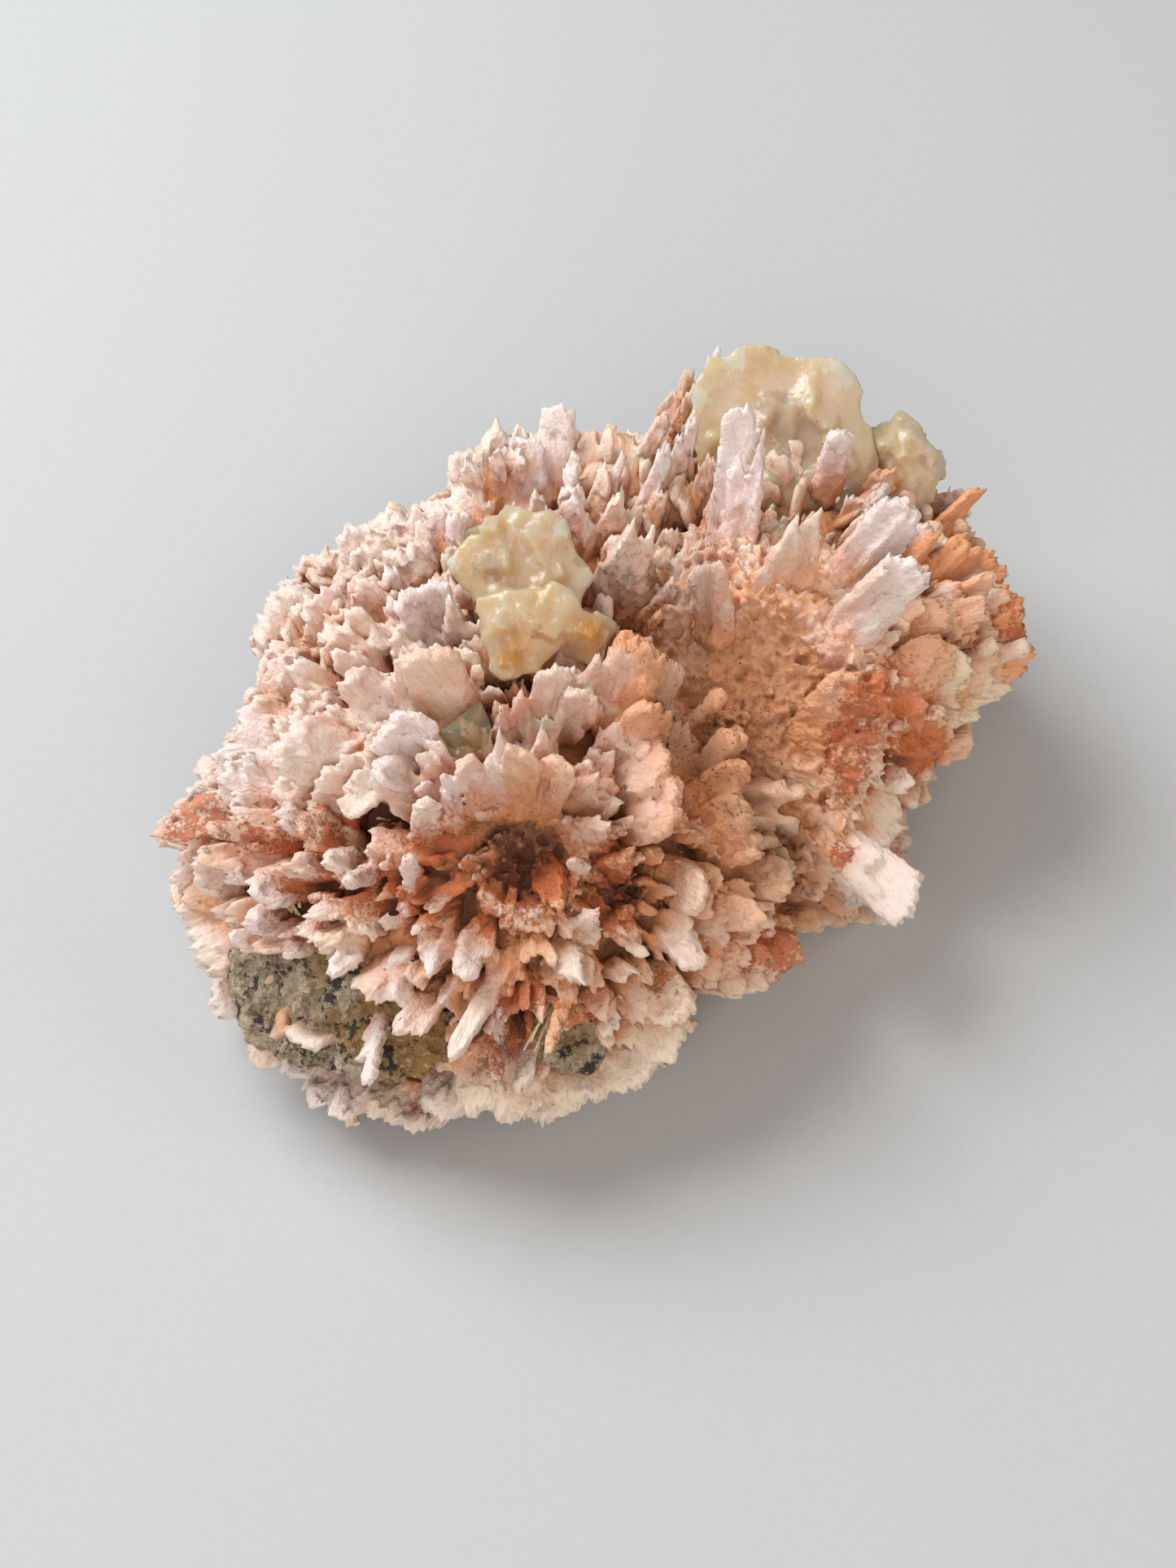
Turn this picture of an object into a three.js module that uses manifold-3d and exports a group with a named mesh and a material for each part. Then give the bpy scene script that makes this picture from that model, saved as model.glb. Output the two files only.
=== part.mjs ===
import * as THREE from "three";
import { mergeVertices } from "three/addons/utils/BufferGeometryUtils.js";
import Module from "manifold-3d";

const wasm = await Module();
wasm.setup();

// A cabinet specimen of blade-shaped zeolite crystals, about 110 mm across. Millimetres, +Z up,
// with the origin on the flat base that it rests on.

// Crystals are laid out as a viewer sees them who looks down at the specimen from the front:
// so far across to the right and so far up, in millimetres at the middle of the specimen.
const VIEW_ELEVATION = THREE.MathUtils.degToRad(55);
const VIEW_DISTANCE = 300;
const MIDDLE_HEIGHT = 22;
const LOOK_UP = Math.sin(VIEW_ELEVATION);
const LOOK_FLAT = Math.cos(VIEW_ELEVATION);
const TO_VIEWER = new THREE.Vector3(0, -LOOK_FLAT, LOOK_UP);

const TABLE_SIZE = 400;
const GAP = 0.35; // clearance between the crystal cluster and the pieces set in it
const BLADE_SINK = 6; // how far a blade runs on inside the body it grows from
const MIN_THICKNESS = 1.1;
const THICKNESS_SHARE = 0.24; // of a blade's width
const TIP_TAPER = 0.4; // how much thinner a blade is at its tip

// The grown-together body under the blades: one lobe for each spray of crystals.
const LOBES = [
  { centre: [-13, -1, 15], radii: [34, 32, 22], blades: 46 },
  { centre: [25, 23, 17], radii: [25, 24, 21], blades: 40 },
  { centre: [-7, 28, 16], radii: [27, 19, 19], blades: 40 },
  { centre: [25, 4, 10], radii: [14, 15, 11], blades: 20 },
];
const LOBE_DETAIL = 3;
const LOBE_ROUGHNESS = 0.09;

// Hollows in the body, where each spray of blades opens: [across, up, depth over the body, radius].
const HOLLOWS = [
  [18, 9, 5, 12],
  [-6, -8, 2, 6.5],
  [6, -14, 2, 4.5],
  [-27, -4, 2, 5],
];

// Blade outlines, as shares of width and length, from the root round to the tip and back.
const OUTLINES = {
  blunt: [[-0.34, 0], [0.34, 0], [0.5, 0.92], [-0.2, 1], [-0.5, 0.8]],
  point: [[-0.42, 0], [0.42, 0], [0.5, 0.55], [0.06, 1], [-0.5, 0.5]],
  petal: [[-0.26, 0], [0.26, 0], [0.5, 0.72], [0.05, 1], [-0.5, 0.8]],
  lath: [[-0.46, 0], [0.46, 0], [0.3, 1], [-0.4, 0.92]],
};

// The blades that the viewer sees: [tip across, tip up, root across, root up, how far the tip
// stands nearer than the root, width, turn about its length in degrees, outline].
const BLADES = [
  // tall blades round the yellow crystals at the top
  [18.8, 45.7, 16.9, 26.4, 6, 5.2, 10, "blunt"],
  [21.2, 42.8, 19, 27.1, 8, 2.6, -35, "point"],
  [31, 43.6, 28.9, 34.3, 6, 3.8, 15, "blunt"],
  [28.5, 33.5, 22.8, 20.3, 8, 5.6, -10, "point"],
  [25.7, 32.5, 22, 22.6, 8, 3.6, 20, "point"],
  [38.9, 35.2, 30.4, 22.6, 7, 6.5, 15, "blunt"],
  [40.4, 27.3, 29.3, 15.7, 9, 6.6, 5, "blunt"],
  [14.8, 25.8, 16.1, 17.5, 8, 5.2, -5, "blunt"],
  [48, 36.1, 41.2, 28.7, 0, 3, 20, "lath"],
  [40, 43, 37.5, 35.1, -3, 5, 5, "petal"],
  [16, 52, 11.3, 38.9, -2, 1.8, 60, "lath"],
  [12.5, 47, 5.6, 35.5, -2, 2.6, 30, "lath"],
  [10, 45.1, 2.9, 35.9, -2, 2.4, 30, "lath"],
  [2.1, 39.6, 1, 31.5, 2, 2.8, 15, "point"],
  [4.2, 36.7, 1.7, 27.9, 4, 3.4, 10, "point"],
  [-1.7, 35.6, -0.9, 27.9, 3, 3.5, -20, "point"],
  // the serrated fans between the two sprays
  [5.4, 31.7, 2.9, 18.5, 8, 7, 5, "point"],
  [10.4, 24.5, 6.7, 17.7, 6, 4, 20, "point"],
  [7.5, 17.8, 2.1, 6.5, 8, 7.5, -10, "blunt"],
  [9.9, 15.3, 4.8, 6.2, 8, 6, 15, "blunt"],
  [8.6, 9.9, 4.4, 2.8, 7, 6, 20, "petal"],
  [3.9, 15.8, 0.6, 7.6, 8, 3.5, -25, "point"],
  [10.5, 7.4, 11.4, -0.4, 5, 4, 25, "point"],
  // broad blades and plates down the right side
  [32.7, 13, 26.6, 5.7, 6, 5.5, 10, "petal"],
  [43.5, 17.6, 36.6, 9.9, 5, 6.5, 10, "petal"],
  [50.3, 27.9, 43.2, 21.6, -1, 6.5, 15, "petal"],
  [53, 22.9, 44.8, 17.7, -1, 6.5, 20, "petal"],
  [54.2, 17.2, 45.5, 13.5, -1, 6.5, 10, "petal"],
  [51.6, 13.4, 44.5, 11, -3, 5, -10, "petal"],
  [47.8, 9.6, 41.5, 8.8, -5, 5, -15, "petal"],
  [49.6, 25.2, 41.9, 20.3, 2, 4.2, 25, "lath"],
  [43.4, 6.2, 36.8, 5.6, -4, 5, -20, "petal"],
  // white blades low on the right
  [37.6, -13.6, 28.4, -6.4, 0, 6.6, -5, "blunt"],
  [33, -16, 26.5, -10.5, -3, 3.2, 20, "lath"],
  [38, -1.5, 31.5, -3.8, -2, 7, 0, "petal"],
  // petals of the front spray, right side
  [25.3, -11.7, 16.2, -11.7, 5, 5.5, -10, "petal"],
  [21, -16, 12.3, -15.6, 6, 4, -15, "petal"],
  [20.1, -3, 13.6, -5.2, 7, 6, 0, "petal"],
  [26.4, -21.2, 16.5, -20.5, 1, 5, 10, "petal"],
  [22, -24.4, 13.8, -22.5, 0, 4, 10, "petal"],
  [13.2, -22.1, 9.2, -16.5, 6, 4, -25, "blunt"],
  [14.9, -14.3, 9.5, -11.2, 7, 5.5, 15, "petal"],
  [11.4, -4.3, 5.2, -0.8, 8, 7.5, 10, "petal"],
  [9.2, 1.3, 3.5, 3.2, 8, 7, -10, "petal"],
  [4.1, -2.3, -0.9, -2.3, 8, 4, 20, "point"],
  // the crown of the front spray
  [-15.2, 2.5, -12.1, -2.8, 9, 4, 25, "blunt"],
  [-10.8, 5.7, -10.2, -2.3, 10, 4.6, 5, "point"],
  [-8, 4.4, -8.7, -3.6, 11, 4.6, -15, "petal"],
  [-3.2, 2.9, -5.8, -3.6, 10, 4.6, -20, "petal"],
  [-25.6, 7.3, -20.6, 3.4, 9, 6, 10, "petal"],
  [-21.7, 8.6, -20.1, 2.4, 9, 5, -20, "blunt"],
  [-13.9, -10.1, -13.9, -15.4, 8, 5.2, 10, "blunt"],
  [-3.9, -15.1, -5.2, -9.5, 7, 4, 15, "point"],
  [0.9, -15.9, -1.9, -19.5, 6, 4.4, 10, "point"],
  [-4.1, 14.3, -5, 5.5, 9, 5, 10, "blunt"],
  [-1.3, 12.1, -3.3, 5.5, 9, 3.6, 20, "blunt"],
  // the far ridge
  [-11.2, 44.4, -11.6, 33.5, -2, 8, 5, "point"],
  [-14.8, 40.4, -13.4, 31.6, -2, 6, 20, "blunt"],
  [-3.4, 46.4, -5.8, 33.5, -1, 5.4, 5, "blunt"],
  [-7.5, 42.2, -7.9, 32.3, -1, 5.5, 10, "blunt"],
  [3.4, 43.4, 1.5, 33, -4, 9, 0, "petal"],
  [-20.2, 34.4, -17.9, 28, -1, 6, 10, "petal"],
  [-16.1, 33, -15.1, 26.8, 1, 4, 30, "blunt"],
  [-26, 33, -22.2, 26.6, 0, 6, 0, "petal"],
  [-9, 34, -9.3, 28, 4, 4, -15, "point"],
  // shingled plates down the left side
  [-29.5, 31.5, -24.4, 24, 1, 6, 10, "petal"],
  [-35.2, 27, -29.4, 21.2, 1, 6, -10, "petal"],
  [-40, 21.6, -31, 16.4, 1, 9, 5, "petal"],
  [-39.5, 15.6, -32, 13.4, 0, 6, -20, "petal"],
  [-29.9, 21.9, -23.4, 18.7, 4, 5, 10, "petal"],
  [-30.6, 18.2, -24.8, 13.5, 4, 3.2, -20, "blunt"],
  [-22, 23, -18.2, 16.8, 8, 5, 10, "blunt"],
  [-18.9, 25, -17, 17.5, 8, 4, -15, "blunt"],
  [-19.6, 16.8, -16.8, 6.8, 8, 7.5, -5, "blunt"],
  [-33.7, 10.6, -26.8, 11.5, 3, 4.2, 15, "petal"],
  [-29.9, 13.5, -23, 8.5, 5, 5, 0, "petal"],
  [-43, 7.8, -35.5, 6.4, 0, 5.5, 10, "petal"],
  [-39.2, 13.3, -33.2, 9.8, 0, 4.6, -10, "petal"],
  [-35.5, 6.6, -28, 5, 6, 5, 15, "petal"],
  [-38.7, 2.8, -27.7, 4.3, 6, 6.5, -5, "petal"],
  [-27.7, -3.9, -28.6, 3, 8, 5, 10, "petal"],
  // laths and plates at the left end
  [-45.8, 1.7, -38, 2.8, 0, 5.5, 0, "petal"],
  [-50.3, -4.6, -37, -1.8, 1, 5, 10, "petal"],
  [-52.6, -6, -40, -7.2, 1, 2.8, 20, "lath"],
  [-48.2, -9, -36.5, -8.6, 3, 3.6, 10, "lath"],
  [-47.9, -11.5, -38.5, -10.3, 3, 5, -10, "petal"],
  [-49.5, -13.5, -41, -12.6, 0, 5.5, 20, "petal"],
  [-50, -16.4, -41, -15.5, 0, 5.5, -10, "petal"],
  [-47.9, -21.6, -39.5, -18.2, 0, 6, 0, "petal"],
  [-40.8, -13.4, -35, -11.5, 6, 5, 20, "petal"],
  [-42, -17.2, -36.4, -16, 5, 3.8, -10, "petal"],
  [-35.5, -6.3, -29.3, -4.8, 7, 5, 10, "petal"],
  [-32.2, -10.5, -27, -9.6, 7, 4, 30, "petal"],
  // blades over the dark rock, and the pale skirt along the bottom
  [-31.7, -24.2, -28.4, -18.3, 6, 4, 10, "point"],
  [-19.4, -23.4, -19.2, -17.6, 6, 3, -10, "point"],
  [-16.6, -34, -8.5, -19.5, 6, 3.2, 20, "lath"],
  [-5, -33.3, -1.5, -22.5, 6, 1.8, 10, "lath"],
  [-0.2, -24.7, -4.2, -20, 6, 3.6, 10, "point"],
  [-8.3, -37.8, -6.8, -30, 5, 3, 20, "lath"],
  [-30.4, -41, -27, -33.4, 6, 4, 0, "blunt"],
  [-26, -41, -24, -34, 5, 5, 15, "petal"],
  [-21.8, -42.6, -21, -34.4, 5, 6, 0, "petal"],
  [-17.2, -41.4, -17.4, -33.4, 5, 6, -10, "petal"],
  [-13.2, -40, -13.4, -32.6, 5, 6, 10, "petal"],
  [-8.6, -41.2, -9.2, -32.6, 5, 7, 0, "petal"],
  [-4, -40.8, -5, -32.6, 5, 7, 10, "petal"],
  [0.6, -38.8, -1, -31.4, 5, 7, -10, "petal"],
  [5.6, -37.4, 2.8, -29.4, 4, 7.5, 0, "petal"],
  [10.5, -33.8, 5.6, -26, 3, 6, 10, "petal"],
  [11.9, -29, 6.8, -23.5, 4, 6, -5, "petal"],
  [-33, -39.4, -29.5, -32, 4, 5, 10, "petal"],
  [-36.6, -35.6, -32.5, -30.5, 3, 5, -10, "petal"],
  [-41, -34.5, -35.5, -28.5, 2, 4.4, 10, "petal"],
  [-46.4, -27.2, -38.5, -23.5, 0, 5, 0, "petal"],
];

// Blades on the sides that the viewer doesn't see grow straight out of the lobes.
const HIDDEN_LENGTH = [4, 9];
const HIDDEN_WIDTH = [6, 11];
const HIDDEN_TURNED_AWAY = -0.16; // how far off the line of sight they start
const HIDDEN_STEEPEST = -0.72; // how far down the body may face under them
const HIDDEN_LOWEST = 1.5; // height of the lowest foot
const HIDDEN_LEAN = 0.5; // how far they lean out of true
const HIDDEN_DROOP = -0.2; // how far down they may point
const CLEAR_OF_LOBE = 1.05; // how far outside a neighbouring lobe their feet stay
const GOLDEN_ANGLE = Math.PI * (3 - Math.sqrt(5));

// Pieces of another mineral or rock set in the cluster, each of one or more lumps:
// [across, up, how far the lump's middle stands over the body, half width, half height, half depth].
const SET_PIECES = [
  {
    name: "yellow_crystals_top",
    colour: 0xd9b45c,
    roughness: 0.3,
    lumps: [[21.5, 42.5, 4, 9.5, 11, 8], [29.6, 42, 3, 7.4, 11.5, 7]],
  },
  {
    name: "yellow_crystals_middle",
    colour: 0xdcbc68,
    roughness: 0.3,
    lumps: [[-9, 27.5, 7, 9.5, 6.6, 8], [-11, 18.5, 5, 5, 7.4, 6], [-2.4, 18.4, 5, 5, 3, 5]],
  },
  { name: "yellow_crystals_side", colour: 0xcfae58, roughness: 0.35, lumps: [[40.2, 37.4, 1, 4.2, 5.2, 6]] },
  { name: "clear_crystal", colour: 0xbdb58a, roughness: 0.15, lumps: [[-14.6, 5.6, 2, 3.9, 3.3, 4]] },
  {
    name: "basalt_matrix",
    colour: 0x5f5846,
    roughness: 0.95,
    lumps: [[-35, -26.5, -1, 11, 8.6, 6], [-24.5, -28.5, -3, 9, 7.4, 6]],
  },
  { name: "basalt_remnant", colour: 0x6a5a40, roughness: 0.95, lumps: [[-2.6, -31.2, -1, 4.4, 4.2, 5]] },
];
const LUMP_DETAIL = 1;
const HOLLOW_DETAIL = 0;
const HOLLOW_SHAPE = [1, 0.9, 0.8]; // width, height and depth, as shares of the radius
const HOLLOW_SEED = 40;
const SEED_STEP = 97;
const LUMP_ROUGHNESS = 0.2;

// A number from 0 to 1 that is always the same for the same n.
function chance(n) {
  const s = Math.sin(n * 127.1 + 11.7) * 43758.5453;
  return s - Math.floor(s);
}

function between(range, share) {
  return range[0] + (range[1] - range[0]) * share;
}

// The point that the viewer sees so far across and up, at a depth towards the viewer.
function seen(across, up, depth) {
  const shrink = 1 - depth / VIEW_DISTANCE;
  return new THREE.Vector3(
    across * shrink,
    up * shrink * LOOK_UP - depth * LOOK_FLAT,
    MIDDLE_HEIGHT + up * shrink * LOOK_FLAT + depth * LOOK_UP,
  );
}

// The depth at which the line of sight meets a lobe, or passes nearest to it.
function lobeDepth(lobe, across, up) {
  const start = seen(across, up, 0);
  const step = seen(across, up, 1).sub(start);
  const radii = new THREE.Vector3(...lobe.radii);
  const from = start.clone().sub(new THREE.Vector3(...lobe.centre)).divide(radii);
  const along = step.clone().divide(radii);
  const a = along.dot(along);
  const b = from.dot(along);
  const inside = b * b - a * (from.dot(from) - 1);
  return { hit: inside > 0, depth: (-b + Math.sqrt(Math.max(inside, 0))) / a, miss: -inside };
}

function surfaceDepth(across, up) {
  const found = LOBES.map((lobe) => lobeDepth(lobe, across, up));
  const hits = found.filter((f) => f.hit);
  if (hits.length) return Math.max(...hits.map((f) => f.depth));
  return found.reduce((best, f) => (f.miss < best.miss ? f : best)).depth;
}

function bare(geometry) {
  geometry.deleteAttribute("normal");
  geometry.deleteAttribute("uv");
  return geometry;
}

function solidOf(geometry) {
  const merged = mergeVertices(bare(geometry), 1e-4);
  return new wasm.Manifold(
    new wasm.Mesh({
      numProp: 3,
      vertProperties: merged.attributes.position.array,
      triVerts: new Uint32Array(merged.index.array),
    }),
  );
}

function join(solids) {
  return solids.reduce((whole, next) => whole.add(next));
}

// A ball whose corners are pushed in and out by chance, then stretched and set in place.
function lumpSolid(radii, detail, roughness, seed, matrix) {
  const ball = mergeVertices(bare(new THREE.IcosahedronGeometry(1, detail)), 1e-4);
  const place = ball.attributes.position;
  for (let i = 0; i < place.count; i++) {
    const push = 1 + roughness * (2 * chance(seed * SEED_STEP + i) - 1);
    const [x, y, z] = radii.map((radius) => push * radius);
    place.setXYZ(i, x * place.getX(i), y * place.getY(i), z * place.getZ(i));
  }
  return solidOf(ball.applyMatrix4(matrix));
}

function lobeSolid(lobe, index) {
  const matrix = new THREE.Matrix4().makeTranslation(...lobe.centre);
  return lumpSolid(lobe.radii, LOBE_DETAIL, LOBE_ROUGHNESS, index + 1, matrix);
}

// A lump as the viewer sees it: its width lies across, its height up, its depth towards the viewer.
function setLump([across, up, over, wide, high, deep], detail, seed, grow) {
  const turn = new THREE.Matrix4().makeBasis(
    new THREE.Vector3(1, 0, 0),
    new THREE.Vector3(0, LOOK_UP, LOOK_FLAT),
    TO_VIEWER,
  );
  const matrix = turn.setPosition(seen(across, up, surfaceDepth(across, up) + over));
  return lumpSolid([wide + grow, high + grow, deep + grow], detail, LUMP_ROUGHNESS, seed, matrix);
}

// A flat blade from root to tip whose broad side faces the given way before it is turned.
function bladeSolid({ root, tip, width, turn, outline, facing }, grow) {
  const along = tip.clone().sub(root);
  const length = along.length() + grow;
  along.normalize();
  const face = facing.clone().addScaledVector(along, -facing.dot(along)).normalize();
  face.applyAxisAngle(along, THREE.MathUtils.degToRad(turn));
  const across = along.clone().cross(face);
  const thickness = Math.max(MIN_THICKNESS, width * THICKNESS_SHARE) + 2 * grow;
  const wide = width + 2 * grow;
  const shape = new THREE.Shape(OUTLINES[outline].map(([x, y]) => new THREE.Vector2(x * wide, y * length)));
  const plate = new THREE.ExtrudeGeometry(shape, { depth: thickness, bevelEnabled: false });
  const place = plate.attributes.position;
  for (let i = 0; i < place.count; i++) {
    const taper = 1 - (TIP_TAPER * place.getY(i)) / length;
    place.setZ(i, (place.getZ(i) - thickness / 2) * taper);
  }
  return solidOf(plate.applyMatrix4(new THREE.Matrix4().makeBasis(across, along, face).setPosition(root)));
}

function seenBlade([tipAcross, tipUp, rootAcross, rootUp, nearer, width, turn, outline]) {
  const depth = surfaceDepth(rootAcross, rootUp);
  const foot = seen(rootAcross, rootUp, depth);
  const tip = seen(tipAcross, tipUp, depth + nearer);
  const root = foot.clone().addScaledVector(tip.clone().sub(foot).normalize(), -BLADE_SINK);
  return { root, tip, width, turn, outline, facing: TO_VIEWER };
}

function insideLobe(point, lobe, share) {
  const p = point.clone().sub(new THREE.Vector3(...lobe.centre)).divide(new THREE.Vector3(...lobe.radii));
  return p.length() < share;
}

function hiddenBlades() {
  const outlines = ["petal", "blunt", "point"];
  const blades = [];
  LOBES.forEach((lobe, l) => {
    for (let i = 0; i < lobe.blades; i++) {
      const seed = 1000 * (l + 1) + i;
      const z = 1 - (2 * (i + 0.5)) / lobe.blades;
      const round = Math.sqrt(1 - z * z);
      const angle = i * GOLDEN_ANGLE;
      const out = new THREE.Vector3(round * Math.cos(angle), round * Math.sin(angle), z);
      const radii = new THREE.Vector3(...lobe.radii);
      const foot = out.clone().multiply(radii).add(new THREE.Vector3(...lobe.centre));
      const normal = out.clone().divide(radii).normalize();
      const others = LOBES.filter((other) => other !== lobe);
      const turnedAway = normal.dot(TO_VIEWER) < HIDDEN_TURNED_AWAY;
      const aboveTable = normal.z > HIDDEN_STEEPEST && foot.z > HIDDEN_LOWEST;
      if (!turnedAway || !aboveTable) continue;
      if (others.some((other) => insideLobe(foot, other, CLEAR_OF_LOBE))) continue;
      const lean = new THREE.Vector3(chance(seed) - 0.5, chance(seed + 0.3) - 0.5, chance(seed + 0.6) - 0.3);
      const along = normal.addScaledVector(lean, HIDDEN_LEAN);
      along.z = Math.max(along.z, HIDDEN_DROOP);
      along.normalize();
      const tip = foot.clone().addScaledVector(along, between(HIDDEN_LENGTH, chance(seed + 0.1)));
      blades.push({
        root: foot.clone().addScaledVector(along, -BLADE_SINK),
        tip,
        width: between(HIDDEN_WIDTH, chance(seed + 0.2)),
        turn: 180 * chance(seed + 0.4),
        outline: outlines[Math.floor(3 * chance(seed + 0.5))],
        facing: new THREE.Vector3(0, 0, 1).addScaledVector(lean, 0.2).normalize(),
      });
    }
  });
  return blades;
}

// Everything below the plane that the specimen rests on.
function belowTable() {
  const slab = new THREE.BoxGeometry(TABLE_SIZE, TABLE_SIZE, TABLE_SIZE);
  return solidOf(slab.translate(0, 0, -TABLE_SIZE / 2));
}

function biggest(solid) {
  return solid.decompose().reduce((best, s) => (s.volume() > best.volume() ? s : best));
}

function nodeMesh(name, solid, colour, roughness) {
  const mesh = solid.getMesh();
  const geometry = new THREE.BufferGeometry()
    .setAttribute("position", new THREE.BufferAttribute(mesh.vertProperties, 3))
    .setIndex(new THREE.BufferAttribute(mesh.triVerts, 1))
    .toNonIndexed();
  geometry.computeVertexNormals();
  const material = new THREE.MeshStandardMaterial({ color: colour, roughness, metalness: 0 });
  const node = new THREE.Mesh(geometry, material);
  node.name = name;
  return node;
}

const blades = [...BLADES.map(seenBlade), ...hiddenBlades()];
const grownBlades = join(blades.map((blade) => bladeSolid(blade, GAP)));
const table = belowTable();

function setPiece(piece, index) {
  const lumps = join(piece.lumps.map((lump, i) => setLump(lump, LUMP_DETAIL, 3 * index + i, 0)));
  const solid = biggest(lumps.subtract(grownBlades).subtract(table));
  return nodeMesh(piece.name, solid, piece.colour, piece.roughness);
}

function clusterSolid() {
  const hollows = HOLLOWS.map(([across, up, over, radius], i) => {
    const size = HOLLOW_SHAPE.map((share) => share * radius);
    return setLump([across, up, over, ...size], HOLLOW_DETAIL, HOLLOW_SEED + i, 0);
  });
  const pockets = SET_PIECES.flatMap((piece, index) =>
    piece.lumps.map((lump, i) => setLump(lump, LUMP_DETAIL, 3 * index + i, GAP)),
  );
  const body = join(LOBES.map(lobeSolid)).subtract(join([...hollows, ...pockets]));
  const grown = join([body, ...blades.map((blade) => bladeSolid(blade, 0))]);
  return biggest(grown.subtract(table));
}

const specimen = new THREE.Group();
specimen.add(nodeMesh("bladed_crystals", clusterSolid(), 0xe8c4b4, 0.6));
SET_PIECES.forEach((piece, index) => specimen.add(setPiece(piece, index)));

export default specimen;
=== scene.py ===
"""A bladed zeolite specimen: sprays of saw-edged crystals, yellow crystal masses and basalt."""

import math

import bmesh
import bpy
import numpy as np
from bpy.props import FloatProperty, FloatVectorProperty, IntProperty, PointerProperty
from mathutils import Matrix, Vector


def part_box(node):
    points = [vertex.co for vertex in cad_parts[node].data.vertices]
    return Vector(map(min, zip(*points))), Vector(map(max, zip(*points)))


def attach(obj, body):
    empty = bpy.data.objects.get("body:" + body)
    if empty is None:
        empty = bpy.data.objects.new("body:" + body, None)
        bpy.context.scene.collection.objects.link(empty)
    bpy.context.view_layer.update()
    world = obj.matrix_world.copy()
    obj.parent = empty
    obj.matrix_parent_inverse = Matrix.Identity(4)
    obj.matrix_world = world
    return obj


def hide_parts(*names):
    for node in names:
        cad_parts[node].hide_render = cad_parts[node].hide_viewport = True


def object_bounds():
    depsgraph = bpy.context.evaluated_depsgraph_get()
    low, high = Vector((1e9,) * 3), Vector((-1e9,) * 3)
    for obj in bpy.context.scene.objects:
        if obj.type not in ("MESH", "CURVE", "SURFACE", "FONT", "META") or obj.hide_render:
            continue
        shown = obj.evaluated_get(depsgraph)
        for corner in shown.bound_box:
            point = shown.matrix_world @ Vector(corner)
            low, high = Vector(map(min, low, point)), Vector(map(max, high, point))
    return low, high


bl_info = {
    "name": "Bladed Zeolite Specimen",
    "version": (1, 0, 0),
    "blender": (4, 5, 0),
    "location": "3D View > Sidebar > Specimen",
    "description": "Builds a specimen of saw-edged zeolite blades with yellow crystals and basalt",
    "category": "Object",
}

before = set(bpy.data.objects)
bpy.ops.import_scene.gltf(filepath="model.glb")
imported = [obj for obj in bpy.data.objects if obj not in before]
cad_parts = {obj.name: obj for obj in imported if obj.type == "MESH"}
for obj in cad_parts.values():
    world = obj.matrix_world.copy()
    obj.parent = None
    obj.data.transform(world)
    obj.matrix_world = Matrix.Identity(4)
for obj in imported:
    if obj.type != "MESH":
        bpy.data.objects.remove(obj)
CAD_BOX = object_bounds()

# Sizes are millimetres until a mesh is made, and then metres, as in the frame.
MM = 0.001
CLUSTER = "bladed_crystals"

# Crystals are laid out as a viewer sees them who looks down at the specimen from the front.
VIEW_ELEVATION = math.radians(55)
VIEW_DISTANCE = 300.0
MIDDLE_HEIGHT = 22.0
FRAME_WIDTH = 144.5
LOOK_UP = math.sin(VIEW_ELEVATION)
LOOK_FLAT = math.cos(VIEW_ELEVATION)
TO_VIEWER = np.array([0.0, -LOOK_FLAT, LOOK_UP])
VIEW_UP = np.array([0.0, LOOK_UP, LOOK_FLAT])
VIEW_RIGHT = np.array([1.0, 0.0, 0.0])
MIDDLE = np.array([0.0, 0.0, MIDDLE_HEIGHT])

# How deep the crystals are sunk in the body.
BLADE_SINK = 6.0
PLATE_SINK = 1.5
FAR_SINK = 3.0

# How much smaller than their lobes the crust and the cores under the blades are.
CRUST_MARGIN = 0.6
CORE_MARGIN = 1.2

# How deep in the body the fibres of a spray begin, and how wide the change from one spray's
# fibres to the other's is.
SPRAY_DEPTH = 16
DIVIDE_WIDTH = 8

# How fine the fibres are, in turns of a spray: near its middle, far out and in colour; and how
# quickly they change along their run.
NEAR_FIBRES = 18
FAR_FIBRES = 40
COLOUR_FIBRES = 28
FIBRE_RUN = 0.1

# How far the drawn-out end of a fibre may lie from its own crystal.
STRAY = 2.5

# How much matter in a cell counts as full, and how far around a point it is looked for, in working out the
# painted shade of crevices.
FULL = 2.5
CREVICE_SHADE_REACH = 1.4

# The grown-together body under the blades: centre and radii of each lobe.
LOBES = [
    ((-13, -1, 15), (34, 32, 22)),
    ((25, 23, 17), (25, 24, 21)),
    ((-7, 28, 16), (27, 19, 19)),
    ((25, 4, 10), (14, 15, 11)),
]

# The four beds of blades, and the lobes that each one stands on.
BED_LOBES = {
    "right_spray_blades": (1, 3),
    "lower_left_blades": (0,),
    "middle_blades": (0,),
    "upper_left_blades": (0, 2),
}

# Hollows where the sprays open: across, up, radius, depth.
HOLLOWS = [
    (17.5, 8.5, 14, 6),
    (22, -1, 9, 3),
    (-7.8, -9, 6, 5),
    (2.5, -12, 4.5, 4),
    (-1, -15.5, 4, 3),
    (-27, -7, 5.5, 4),
    (4, 19, 4.5, 4.5),
    (12.5, 34.5, 3.5, 4),
    (-9.5, 10.5, 3.5, 4),
    (-8.2, -27, 3.5, 4.5),
    (-38.5, -11.5, 3, 3.5),
    (9.5, -21, 3, 3),
]

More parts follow.
